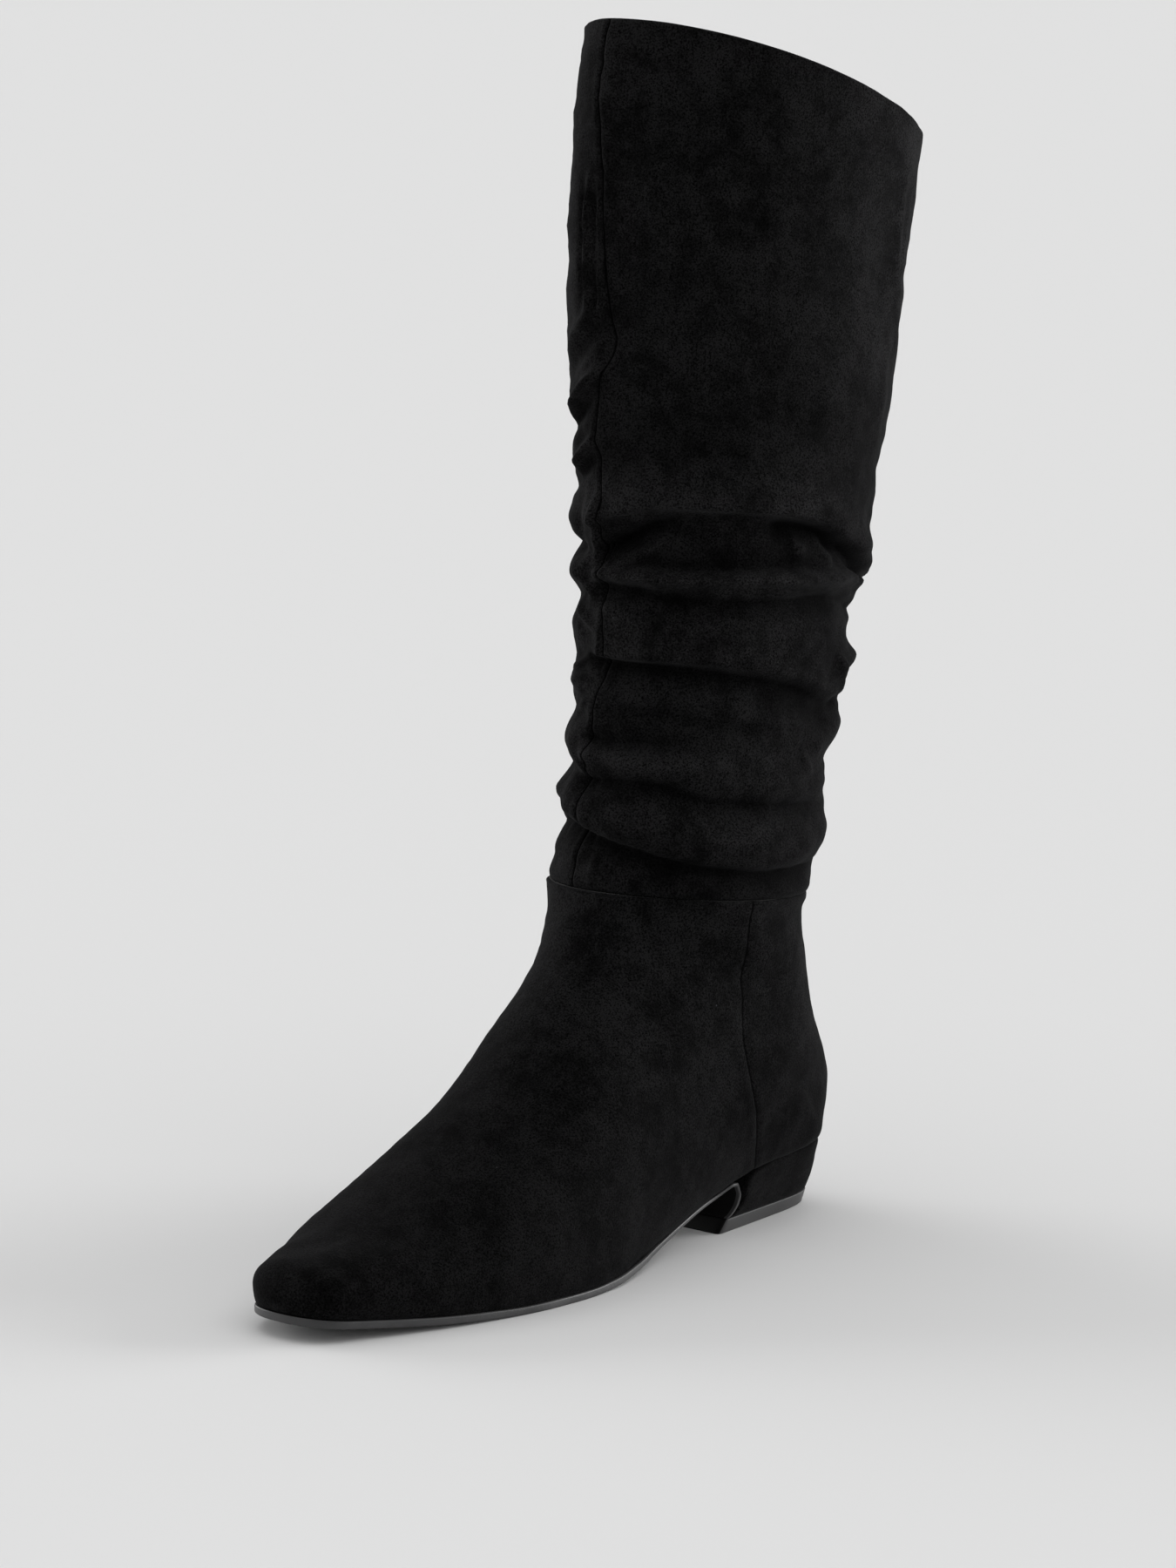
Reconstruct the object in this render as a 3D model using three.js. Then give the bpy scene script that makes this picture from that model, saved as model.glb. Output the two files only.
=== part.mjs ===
// A slouch boot for the left foot, empty and standing on its sole.
// Millimetres. X points to the outer side of the foot, -Y to the toe and +Z up.
// The origin is the middle of the heel's floor face.
import * as THREE from 'three';
import { mergeVertices } from 'three/addons/utils/BufferGeometryUtils.js';

// Driving sizes of the last
const SOLE_LENGTH = 256;
const BALL_OUTER = 41.1;
const BALL_INNER = 36.8;
const SEAT_HEIGHT = 25.5;
const ARCH_HEIGHT = 16;
const TOE_SPRING = 6;
const TOE_SWING = 2;
const ANKLE_FRONT = 120;
const ANKLE_BACK = 112;

// Driving sizes of the shaft
const COLLAR_FRONT = 400;
const COLLAR_BACK = 353;
const COLLAR_DIP = 1.1;
const FOLD_DEPTH = 4;
const FOLD_SPREAD = 8;
const FOLD_FADE = 8;

// Walls, boards and the gaps between pieces
const UPPER_WALL = 2;
const SHAFT_WALL = 1.8;
const SOLE_THICKNESS = 2.6;
const SOLE_BEVEL = 0.4;
const SOLE_LEDGE = 0.6;
const FLAP_NARROWING = 2;
const INSOLE_THICKNESS = 2;
const GAP = 0.3;

// Top lift: its floor face's ends as shares of the length, and the rake of its front
const LIFT_HEIGHT = 5;
const LIFT_BACK_ALONG = 0.0059;
const LIFT_FRONT_ALONG = 0.2383;
const LIFT_HALF_WIDTH = 22;
const LIFT_BEVEL = 0.5;
const LIFT_RAKE = 0.5;

// Heel block: how far inside the lift's sides its own run, where its top ends, and where the seat is widest
const BLOCK_SETBACK = 0.3;
const BLOCK_TOP_FRONT = 6;
const BLOCK_WIDEST_ALONG = 0.12;

// The heel's plan: powers of its corners in front, and behind at the floor and at the seat; how much of its
// width is left at the back of the floor face; and how far its back at the seat stands out behind the sole
const HEEL_FRONT_POWER = 30;
const HEEL_BACK_POWER = 5;
const SEAT_BACK_POWER = 2.3;
const HEEL_BACK_SHARE = 0.74;
const SEAT_OVERHANG = 0.6;

// The sole's bend where it turns down the breast: its length and its drop
const FLAP_BEND = 2;
const FLAP_DROP = 0.1;

// Round ends of the outline and of the toe's height, as lengths along the foot
const HEEL_ROUNDING = 25;
const TOE_ROUNDING = 14;
const TOE_TOP_ROUNDING = 11;
const HEEL_END_POWER = 3;
const TOE_END_POWER = 2.6;
const TOE_END_ROOT = 0.42;

// How straight the upper's sides leave the sole, over the power 1 of a plain ellipse
const EDGE_TUCK = 0.6;

// The heel's cup: between which shares of the back's climb it fades, and how softly it joins the sections
const CUP_FROM = 0.1;
const CUP_TO = 0.7;
const CUP_BLEND = 9;

// The path's corner at the seat: how far along it is rounded, in how many steps, and how high up the side
const CORNER_REACH = 0.2;
const CORNER_SAMPLES = 9;
const CORNER_TURN = 0.9;

// Numbers of facets
const END_STATIONS = 6;
const MIDDLE_STATIONS = 22;
const BACK_STATIONS = 8;
const FOOT_COLUMNS = 26;
const SHAFT_COLUMNS = 38;
const FOLDED_RINGS = 32;
const PLAIN_RINGS = 5;
const FOLDED_SHARE = 0.66;
const HEEL_STEPS = 40;
const HEEL_RINGS = 7;

// The sole's edge: share of the length from the heel, and half widths as shares of the ball's
const EDGE = [
  { along: 0.00, outer: 0.64, inner: 0.70 },
  { along: 0.07, outer: 0.69, inner: 0.75 },
  { along: 0.13, outer: 0.70, inner: 0.76 },
  { along: 0.19, outer: 0.655, inner: 0.70 },
  { along: 0.26, outer: 0.56, inner: 0.60 },
  { along: 0.34, outer: 0.65, inner: 0.61 },
  { along: 0.41, outer: 0.76, inner: 0.69 },
  { along: 0.47, outer: 0.88, inner: 0.79 },
  { along: 0.54, outer: 0.98, inner: 0.89 },
  { along: 0.60, outer: 1.00, inner: 0.96 },
  { along: 0.66, outer: 0.98, inner: 1.00 },
  { along: 0.72, outer: 0.92, inner: 0.99 },
  { along: 0.80, outer: 0.80, inner: 0.89 },
  { along: 0.88, outer: 0.63, inner: 0.71 },
  { along: 0.94, outer: 0.48, inner: 0.55 },
  { along: 1.00, outer: 0.37, inner: 0.42 },
];

// The sole's underside: shares of the arch's height and of the toe spring, and of the full thickness
const UNDERSIDE = [
  { along: 0.224, arch: 1.00, spring: 0.00, thick: 0.50 },
  { along: 0.258, arch: 0.77, spring: 0.00, thick: 0.55 },
  { along: 0.337, arch: 0.51, spring: 0.00, thick: 0.65 },
  { along: 0.407, arch: 0.29, spring: 0.00, thick: 0.80 },
  { along: 0.475, arch: 0.13, spring: 0.00, thick: 0.95 },
  { along: 0.545, arch: 0.03, spring: 0.00, thick: 1.00 },
  { along: 0.585, arch: 0.00, spring: 0.00, thick: 1.00 },
  { along: 0.700, arch: 0.00, spring: 0.00, thick: 1.00 },
  { along: 0.760, arch: 0.00, spring: 0.10, thick: 1.00 },
  { along: 0.820, arch: 0.00, spring: 0.24, thick: 1.00 },
  { along: 0.880, arch: 0.00, spring: 0.44, thick: 1.00 },
  { along: 0.940, arch: 0.00, spring: 0.68, thick: 1.00 },
  { along: 1.000, arch: 0.00, spring: 1.00, thick: 1.00 },
];

// The upper's lower edge round the seat, as shares of the seat's height
const SEAT = [
  { along: 0.000, height: 1.000 },
  { along: 0.070, height: 0.985 },
  { along: 0.130, height: 0.935 },
  { along: 0.190, height: 0.825 },
];

// The breast, where the sole turns down the front of the heel: share of the climb from the lift to the arch,
// and its outer face's place along the foot
const BREAST = [
  { rise: 0.000, along: 0.2281 },
  { rise: 0.206, along: 0.2172 },
  { rise: 0.439, along: 0.2105 },
  { rise: 0.673, along: 0.2086 },
  { rise: 0.869, along: 0.2125 },
];

// The back of the foot part: share of the climb from seat to ankle, and way forward of the seat
const BACK = [
  { rise: 0.00, along: 0.0000 },
  { rise: 0.10, along: -0.0148 },
  { rise: 0.22, along: -0.0242 },
  { rise: 0.40, along: 0.0039 },
  { rise: 0.60, along: 0.0328 },
  { rise: 0.80, along: 0.0508 },
  { rise: 0.92, along: 0.0609 },
  { rise: 1.00, along: 0.0547 },
];

// Sections of the foot part, a fan of planes from the toe to the ankle.
// run: where the section starts, 0 to 1 back along the sole and 1 to 2 up the back
// along, height: where it ends on the ridge, as shares of the length and of the ankle's front height
// outer, inner: half widths as shares of the ball's; widest: how far up the section they lie
// round: the power of the sine that shapes its upper half
const FOOT = [
  { run: 0.00, along: 1.000, height: 0.180, outer: 0.40, inner: 0.455, widest: 0.42, round: 0.80 },
  { run: 0.06, along: 0.941, height: 0.200, outer: 0.515, inner: 0.59, widest: 0.42, round: 0.85 },
  { run: 0.12, along: 0.882, height: 0.222, outer: 0.67, inner: 0.75, widest: 0.42, round: 0.90 },
  { run: 0.20, along: 0.802, height: 0.283, outer: 0.845, inner: 0.935, widest: 0.40, round: 1.00 },
  { run: 0.28, along: 0.723, height: 0.362, outer: 0.97, inner: 1.02, widest: 0.38, round: 1.05 },
  { run: 0.34, along: 0.664, height: 0.434, outer: 1.03, inner: 1.02, widest: 0.36, round: 1.08 },
  { run: 0.40, along: 0.605, height: 0.510, outer: 1.035, inner: 0.99, widest: 0.35, round: 1.08 },
  { run: 0.46, along: 0.555, height: 0.600, outer: 1.01, inner: 0.96, widest: 0.35, round: 1.05 },
  { run: 0.54, along: 0.514, height: 0.690, outer: 0.96, inner: 0.95, widest: 0.37, round: 1.00 },
  { run: 0.66, along: 0.483, height: 0.752, outer: 0.91, inner: 0.95, widest: 0.41, round: 0.96 },
  { run: 0.78, along: 0.461, height: 0.802, outer: 0.89, inner: 0.96, widest: 0.43, round: 0.93 },
  { run: 0.88, along: 0.449, height: 0.839, outer: 0.91, inner: 0.97, widest: 0.45, round: 0.92 },
  { run: 1.00, along: 0.444, height: 0.872, outer: 0.94, inner: 1.00, widest: 0.46, round: 0.90 },
  { run: 1.15, along: 0.440, height: 0.897, outer: 0.93, inner: 1.02, widest: 0.47, round: 0.90 },
  { run: 1.35, along: 0.434, height: 0.926, outer: 0.90, inner: 1.02, widest: 0.48, round: 0.92 },
  { run: 1.60, along: 0.426, height: 0.955, outer: 0.94, inner: 1.01, widest: 0.49, round: 0.96 },
  { run: 1.80, along: 0.423, height: 0.978, outer: 0.97, inner: 1.02, widest: 0.49, round: 0.98 },
  { run: 2.00, along: 0.420, height: 1.000, outer: 1.02, inner: 1.03, widest: 0.49, round: 1.00 },
];

// Rings of the shaft without its folds: share of the height, places of the back and front along the foot,
// half widths as shares of the ball's, and how far forward the ring is widest
const SHAFT = [
  { share: 0.00, back: 0.0547, front: 0.4199, outer: 1.02, inner: 1.03, widest: 0.49 },
  { share: 0.05, back: 0.0371, front: 0.4160, outer: 1.04, inner: 0.95, widest: 0.49 },
  { share: 0.13, back: 0.0273, front: 0.4063, outer: 1.05, inner: 0.89, widest: 0.49 },
  { share: 0.32, back: -0.0078, front: 0.3945, outer: 1.10, inner: 0.87, widest: 0.50 },
  { share: 0.55, back: -0.0645, front: 0.3965, outer: 1.19, inner: 0.94, widest: 0.50 },
  { share: 0.76, back: -0.1055, front: 0.3965, outer: 1.24, inner: 1.00, widest: 0.50 },
  { share: 1.00, back: -0.1367, front: 0.3828, outer: 1.27, inner: 1.02, widest: 0.50 },
];

// Folds of the slack shaft. front, side, back: heights of the fold there, as shares of the collar's in front
// swell: how far it stands out, or sinks in when negative; spread: its half height; both of the named sizes
// facing: where it is strongest, in degrees from the front to the outer side; reach: how far it runs
const FOLDS = [
  { front: 0.730, side: 0.655, back: 0.625, swell: 0.62, spread: 0.88, facing: -20, reach: 50 },
  { front: 0.700, side: 0.637, back: 0.613, swell: -0.38, spread: 0.62, facing: -20, reach: 50 },
  { front: 0.665, side: 0.625, back: 0.600, swell: 0.50, spread: 0.75, facing: -20, reach: 45 },
  { front: 0.608, side: 0.600, back: 0.547, swell: 0.88, spread: 0.88, facing: 60, reach: 110 },
  { front: 0.580, side: 0.583, back: 0.525, swell: -1.00, spread: 0.62, facing: 25, reach: 45 },
  { front: 0.580, side: 0.583, back: 0.525, swell: -0.88, spread: 0.62, facing: 100, reach: 50 },
  { front: 0.557, side: 0.552, back: 0.542, swell: 0.62, spread: 0.50, facing: 70, reach: 110 },
  { front: 0.545, side: 0.535, back: 0.515, swell: -0.88, spread: 0.50, facing: 60, reach: 100 },
  { front: 0.515, side: 0.502, back: 0.475, swell: 0.38, spread: 0.88, facing: 40, reach: 80 },
  { front: 0.510, side: 0.510, back: 0.500, swell: -0.62, spread: 0.62, facing: 130, reach: 60 },
  { front: 0.487, side: 0.463, back: 0.440, swell: -0.75, spread: 0.50, facing: 60, reach: 100 },
  { front: 0.487, side: 0.460, back: 0.443, swell: -0.50, spread: 0.62, facing: 130, reach: 60 },
  { front: 0.445, side: 0.430, back: 0.415, swell: -0.50, spread: 0.50, facing: 35, reach: 70 },
  { front: 0.407, side: 0.400, back: 0.395, swell: 0.62, spread: 0.62, facing: 30, reach: 80 },
  { front: 0.400, side: 0.400, back: 0.390, swell: -0.62, spread: 0.62, facing: 130, reach: 60 },
  { front: 0.388, side: 0.367, back: 0.365, swell: -0.75, spread: 0.50, facing: 50, reach: 100 },
  { front: 0.365, side: 0.343, back: 0.335, swell: 0.75, spread: 0.75, facing: 60, reach: 130 },
  { front: 0.345, side: 0.312, back: 0.305, swell: -0.88, spread: 0.50, facing: 40, reach: 130 },
  { front: 0.603, side: 0.598, back: 0.565, swell: 0.62, spread: 0.62, facing: -75, reach: 80 },
  { front: 0.578, side: 0.575, back: 0.545, swell: -0.62, spread: 0.50, facing: -75, reach: 80 },
  { front: 0.555, side: 0.552, back: 0.532, swell: 0.75, spread: 0.62, facing: -75, reach: 85 },
  { front: 0.532, side: 0.530, back: 0.510, swell: -0.62, spread: 0.50, facing: -75, reach: 85 },
  { front: 0.512, side: 0.510, back: 0.495, swell: 0.50, spread: 0.62, facing: -75, reach: 80 },
  { front: 0.480, side: 0.475, back: 0.465, swell: -0.50, spread: 0.62, facing: -75, reach: 80 },
  { front: 0.445, side: 0.445, back: 0.430, swell: -0.62, spread: 0.62, facing: -75, reach: 80 },
  { front: 0.417, side: 0.415, back: 0.400, swell: 0.62, spread: 0.50, facing: -75, reach: 80 },
  { front: 0.395, side: 0.393, back: 0.378, swell: -0.50, spread: 0.50, facing: -75, reach: 80 },
  { front: 0.372, side: 0.370, back: 0.360, swell: 0.75, spread: 0.50, facing: -75, reach: 85 },
  { front: 0.345, side: 0.340, back: 0.325, swell: -0.62, spread: 0.50, facing: -80, reach: 85 },
];

const LIFT_BACK = LIFT_BACK_ALONG * SOLE_LENGTH;
const LIFT_FRONT = LIFT_FRONT_ALONG * SOLE_LENGTH;
const ORIGIN_FORWARD = (LIFT_BACK + LIFT_FRONT) / 2;
const radians = THREE.MathUtils.degToRad;
const clamp = THREE.MathUtils.clamp;

// A smooth curve through a table's column that never overshoots its rows (monotone cubic)
function column(rows, across, key) {
  const x = rows.map((row) => row[across]);
  const y = rows.map((row) => row[key]);
  const last = x.length - 1;
  const step = x.slice(1).map((value, i) => value - x[i]);
  const slope = step.map((width, i) => (y[i + 1] - y[i]) / width);
  const tangent = x.map((_, i) => {
    if (i === 0) return slope[0];
    if (i === last) return slope[last - 1];
    if (slope[i - 1] * slope[i] <= 0) return 0;
    const before = 2 * step[i] + step[i - 1];
    const after = step[i] + 2 * step[i - 1];
    return (before + after) / (before / slope[i - 1] + after / slope[i]);
  });
  return (at) => {
    const place = clamp(at, x[0], x[last]);
    const next = x.findIndex((value) => value > place);
    const i = next < 0 ? last - 1 : next - 1;
    const t = (place - x[i]) / step[i];
    const turn = t * t * (3 - 2 * t);
    const leave = t * (1 - t) * (1 - t) * tangent[i];
    const arrive = t * t * (1 - t) * tangent[i + 1];
    return y[i] + (y[i + 1] - y[i]) * turn + (leave - arrive) * step[i];
  };
}

const edgeOuter = column(EDGE, 'along', 'outer');
const edgeInner = column(EDGE, 'along', 'inner');
const undersideArch = column(UNDERSIDE, 'along', 'arch');
const undersideSpring = column(UNDERSIDE, 'along', 'spring');
const undersideThick = column(UNDERSIDE, 'along', 'thick');
const breastAlong = column(BREAST, 'rise', 'along');
const backAlong = column(BACK, 'rise', 'along');
const foot = Object.fromEntries(
  ['along', 'height', 'outer', 'inner', 'widest', 'round'].map((key) => [key, column(FOOT, 'run', key)]),
);
const shaft = Object.fromEntries(
  ['back', 'front', 'outer', 'inner', 'widest'].map((key) => [key, column(SHAFT, 'share', key)]),
);

// Shares from 0 to 1, even, or bunched at the start like the points of a quarter circle
const even = (count) => Array.from({ length: count }, (_, i) => i / count);
const bunched = (count) => even(count).map((share) => 1 - Math.cos(share * Math.PI / 2));

// Growth from 0 at an end to 1 at the given length from it, round like a heel or blunt like a toe
function roundEnd(distance, length) {
  const left = clamp(1 - distance / length, 0, 1);
  return Math.sqrt(1 - left ** HEEL_END_POWER);
}

function bluntEnd(distance, length) {
  const left = clamp(1 - distance / length, 0, 1);
  return (1 - left ** TOE_END_POWER) ** TOE_END_ROOT;
}

// Half width of the sole's edge, drawn in by an inset; side is 1 outer or -1 inner
function halfWidth(forward, side, inset) {
  const along = forward / SOLE_LENGTH;
  const full = side > 0 ? edgeOuter(along) * BALL_OUTER : edgeInner(along) * BALL_INNER;
  const heel = roundEnd(forward - inset, HEEL_ROUNDING - inset);
  const toe = bluntEnd(SOLE_LENGTH - inset - forward, TOE_ROUNDING - inset);
  return Math.max(full - inset, 0) * heel * toe;
}

// The foot's middle line leaves the heel's towards the toe
function middle(forward) {
  const past = clamp(forward / SOLE_LENGTH - 0.5, 0, 0.5) / 0.5;
  return TOE_SWING * past ** 1.5;
}

function underside(forward) {
  const along = forward / SOLE_LENGTH;
  return undersideArch(along) * ARCH_HEIGHT + undersideSpring(along) * TOE_SPRING;
}

function soleThickness(forward) {
  return undersideThick(forward / SOLE_LENGTH) * SOLE_THICKNESS;
}

// Height of the upper's lower edge, on the heel's seat and then on the sole
const ARCH_ALONG = UNDERSIDE[0].along;
const FEATHER = [
  ...SEAT.map(({ along, height }) => ({ along, height: height * SEAT_HEIGHT })),
  ...UNDERSIDE.map(({ along }) => {
    const forward = along * SOLE_LENGTH;
    return { along, height: underside(forward) + soleThickness(forward) + GAP };
  }),
];
const featherAlong = column(FEATHER, 'along', 'height');
const feather = (forward) => featherAlong(forward / SOLE_LENGTH);

// A point of the boot from its sideways place, distance forward of the heel and height
function place(sideways, forward, height) {
  return new THREE.Vector3(sideways, ORIGIN_FORWARD - forward, height);
}

// The low point of a foot section: along the sole and then up the back
function lowPoint(run) {
  const seat = feather(SOLE_LEDGE);
  if (run > 1) {
    const rise = run - 1;
    const forward = SOLE_LEDGE + backAlong(rise) * SOLE_LENGTH;
    return { forward, height: THREE.MathUtils.lerp(seat, ANKLE_BACK, rise) };
  }
  const forward = THREE.MathUtils.lerp(SOLE_LENGTH - SOLE_LEDGE, SOLE_LEDGE, run);
  return { forward, height: feather(forward) };
}

// The same path with its corner at the seat rounded off, for the sides above the lower edge
function roundedLowPoint(run) {
  const near = 1 - Math.min(Math.abs(run - 1) / CORNER_REACH, 1);
  const samples = even(CORNER_SAMPLES).map((share) => share + 0.5 / CORNER_SAMPLES - 0.5);
  const points = samples.map((share) => lowPoint(run + share * near * CORNER_REACH));
  const mean = (key) => points.reduce((sum, point) => sum + point[key], 0) / CORNER_SAMPLES;
  return { forward: mean('forward'), height: mean('height') };
}

// The heel's cup: the seat's outline carried up along the back, fading with the height and towards the arch
function heelCup(forward, height, side) {
  const seat = feather(SOLE_LEDGE);
  const rise = (height - seat) / (ANKLE_BACK - seat);
  const behind = forward - backAlong(rise) * SOLE_LENGTH;
  const lowered = 1 - THREE.MathUtils.smoothstep(rise, CUP_FROM, CUP_TO);
  const fade = lowered * (1 - THREE.MathUtils.smoothstep(behind, HEEL_ROUNDING, 2 * HEEL_ROUNDING));
  return { out: halfWidth(behind, side, SOLE_LEDGE) * fade, fade };
}

// One point of a foot section; turn runs from 0 at the low point to pi at the ridge
function footPoint(run, turn, side) {
  const corner = lowPoint(run);
  const rounded = roundedLowPoint(run);
  const above = THREE.MathUtils.smoothstep(turn, 0, CORNER_TURN);
  const lowForward = THREE.MathUtils.lerp(corner.forward, rounded.forward, above);
  const lowHeight = THREE.MathUtils.lerp(corner.height, rounded.height, above);
  const toToe = (SOLE_LENGTH - 2 * SOLE_LEDGE) * run;
  const highForward = foot.along(run) * SOLE_LENGTH;
  const ridge = foot.height(run) * ANKLE_FRONT - lowHeight;
  const highHeight = lowHeight + ridge * bluntEnd(toToe, TOE_TOP_ROUNDING);
  const base = run <= 1 ? halfWidth(corner.forward, side, SOLE_LEDGE) : 0;
  const full = side > 0 ? foot.outer(run) * BALL_OUTER : foot.inner(run) * BALL_INNER;
  const wide = Math.max(full * bluntEnd(toToe, TOE_ROUNDING), base);
  const widest = foot.widest(run);
  const low = turn < Math.PI / 2;
  const sine = Math.max(Math.sin(turn), 0);
  const up = low ? widest * (1 - Math.cos(turn)) : widest - (1 - widest) * Math.cos(turn);
  const tuck = 1 + EDGE_TUCK * (base > 0 ? base / wide : 0);
  const section = low ? base + (wide - base) * sine ** tuck : wide * sine ** foot.round(run);
  const forward = THREE.MathUtils.lerp(lowForward, highForward, up);
  const height = THREE.MathUtils.lerp(lowHeight, highHeight, up);
  const cup = heelCup(forward, height, side);
  const out = (section + cup.out + Math.hypot(section - cup.out, CUP_BLEND * sine * cup.fade)) / 2;
  return place(middle(forward) + side * out, forward, height);
}

// How far a fold stands out at a height and an angle from the front
function foldAt(fold, height, degrees) {
  const facing = Math.cos(radians(degrees));
  const crest = COLLAR_FRONT * (fold.side
    + (fold.front - fold.side) * Math.max(facing, 0) ** 2
    + (fold.back - fold.side) * Math.max(-facing, 0) ** 2);
  const away = Math.abs(THREE.MathUtils.euclideanModulo(degrees - fold.facing + 180, 360) - 180);
  const fade = 0.5 + 0.5 * Math.cos(Math.PI * clamp(away / fold.reach, 0, 1));
  return fold.swell * FOLD_DEPTH * fade * Math.exp(-(((height - crest) / (fold.spread * FOLD_SPREAD)) ** 2));
}

// One point of the shaft; degrees run from 0 at the front by 90 at the outer side
function shaftPoint(share, degrees) {
  const cosine = Math.cos(radians(degrees));
  const sine = Math.sin(radians(degrees));
  const widest = shaft.widest(share);
  const ahead = cosine < 0 ? widest * (1 + cosine) : widest + (1 - widest) * cosine;
  const top = THREE.MathUtils.lerp(ANKLE_FRONT + GAP, COLLAR_FRONT, share);
  const bottom = THREE.MathUtils.lerp(ANKLE_BACK + GAP, COLLAR_BACK, share);
  const dip = THREE.MathUtils.lerp(1, COLLAR_DIP, share);
  const height = top - (top - bottom) * (1 - ahead) ** dip;
  const back = shaft.back(share) * SOLE_LENGTH;
  const front = shaft.front(share) * SOLE_LENGTH;
  const half = sine > 0 ? shaft.outer(share) * BALL_OUTER : shaft.inner(share) * BALL_INNER;
  const fade = clamp(((top + bottom) / 2 - (ANKLE_FRONT + ANKLE_BACK) / 2) / FOLD_FADE, 0, 1);
  const swell = FOLDS.reduce((sum, fold) => sum + foldAt(fold, height, degrees), 0) * fade;
  const radius = 1 + swell / half;
  const centre = back + (front - back) * widest;
  const forward = centre + (back + (front - back) * ahead - centre) * radius;
  return place(half * sine * radius, forward, height);
}

// Turns quads and triangles of points into one closed, outward-facing geometry
function solid(faces) {
  const positions = [];
  const put = (a, b, c) => {
    positions.push(...a.toArray(), ...b.toArray(), ...c.toArray());
  };
  faces.forEach(([a, b, c, d]) => {
    put(a, b, c);
    if (d) put(a, c, d);
  });
  const loose = new THREE.BufferGeometry();
  loose.setAttribute('position', new THREE.Float32BufferAttribute(positions, 3));
  const merged = mergeVertices(loose, 1e-3);
  const corner = merged.index.array;
  const point = (i) => new THREE.Vector3().fromBufferAttribute(merged.attributes.position, i);
  const kept = [];
  let volume = 0;
  for (let i = 0; i < corner.length; i += 3) {
    const [a, b, c] = [corner[i], corner[i + 1], corner[i + 2]];
    if (a !== b && b !== c && c !== a) {
      kept.push(a, b, c);
      volume += point(a).dot(point(b).cross(point(c)));
    }
  }
  merged.setIndex(volume > 0 ? kept : kept.reverse());
  return merged;
}

// Quads between two lists of points of one length
function strip(from, to) {
  return from.slice(1).map((_, i) => [from[i], from[i + 1], to[i + 1], to[i]]);
}

function skin(rows) {
  return rows.slice(1).flatMap((row, i) => strip(rows[i], row));
}

const reversed = (faces) => faces.map((face) => [...face].reverse());

// The grid moved inwards by a wall; the points of its flat rims move level
function inset(rows, wall, closed, isRim) {
  const lastRow = rows.length - 1;
  const lastColumn = rows[0].length - 1;
  const at = (i, j) => {
    const k = closed ? THREE.MathUtils.euclideanModulo(j, lastColumn) : clamp(j, 0, lastColumn);
    return rows[clamp(i, 0, lastRow)][k];
  };
  return rows.map((row, i) => row.map((point, j) => {
    const along = at(i + 1, j).clone().sub(at(i - 1, j));
    const across = at(i, j + 1).clone().sub(at(i, j - 1));
    const normal = along.cross(across);
    if (isRim(i, j)) normal.z = 0;
    return point.clone().addScaledVector(normal.normalize(), wall);
  }));
}

// Places along the foot from toe to heel, drawn in at both ends; every piece has the same middle ones
function stations(draw) {
  const toe = SOLE_LENGTH - TOE_ROUNDING;
  return [
    ...bunched(END_STATIONS).map((share) => SOLE_LENGTH - draw - share * (TOE_ROUNDING - draw)),
    ...even(MIDDLE_STATIONS).map((share) => THREE.MathUtils.lerp(toe, HEEL_ROUNDING, share)),
    ...[...bunched(END_STATIONS), 1].reverse().map((share) => draw + share * (HEEL_ROUNDING - draw)),
  ];
}

// Foot part of the upper: open underneath and at the ankle
function upperGeometry() {
  const length = SOLE_LENGTH - 2 * SOLE_LEDGE;
  const runs = [
    ...stations(SOLE_LEDGE).map((forward) => 1 - (forward - SOLE_LEDGE) / length),
    ...even(BACK_STATIONS).slice(1).map((share) => 1 + share),
    2,
  ];
  const turns = Array.from({ length: FOOT_COLUMNS / 2 + 1 }, (_, j) => j / (FOOT_COLUMNS / 2) * Math.PI);
  const outside = runs.map((run) => [
    ...turns.map((turn) => footPoint(run, turn, 1)),
    ...turns.slice(0, -1).reverse().map((turn) => footPoint(run, turn, -1)),
  ]);
  const lastRow = runs.length - 1;
  const onSole = runs.filter((run) => run <= 1).length;
  const closesBack = (i) => runs[i] >= 1;
  const rim = (i, j) => i === lastRow || (!closesBack(i) && (j === 0 || j === FOOT_COLUMNS));
  const inside = inset(outside, -UPPER_WALL, false, rim);
  const toeTip = outside[0][0].clone();
  toeTip.y += UPPER_WALL;
  inside[0] = inside[0].map(() => toeTip.clone());
  inside.forEach((row, i) => {
    if (closesBack(i)) {
      const back = row[0].clone().add(row[FOOT_COLUMNS]).multiplyScalar(0.5);
      back.x = 0;
      row[0] = back;
      row[FOOT_COLUMNS] = back.clone();
    }
    row[FOOT_COLUMNS / 2].x = outside[i][FOOT_COLUMNS / 2].x;
  });
  const side = (j) => strip(
    outside.slice(0, onSole).map((row) => row[j]),
    inside.slice(0, onSole).map((row) => row[j]),
  );
  return solid([
    ...skin(outside),
    ...reversed(skin(inside)),
    ...side(0),
    ...reversed(side(FOOT_COLUMNS)),
    ...strip(outside[lastRow], inside[lastRow]),
  ]);
}

// Shaft: a slack tube from the ankle seam to the collar
function shaftGeometry() {
  const shares = [
    ...even(FOLDED_RINGS).map((share) => share * FOLDED_SHARE),
    ...even(PLAIN_RINGS).map((share) => THREE.MathUtils.lerp(FOLDED_SHARE, 1, share)),
    1,
  ];
  const angles = [...even(SHAFT_COLUMNS), 1].map((share) => share * 360);
  const outside = shares.map((share) => angles.map((degrees) => shaftPoint(share, degrees)));
  const inside = inset(outside, -SHAFT_WALL, true, (i) => i === 0 || i === shares.length - 1);
  return solid([
    ...skin(outside),
    ...reversed(skin(inside)),
    ...reversed(strip(outside[0], inside[0])),
    ...strip(outside.at(-1), inside.at(-1)),
  ]);
}

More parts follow.
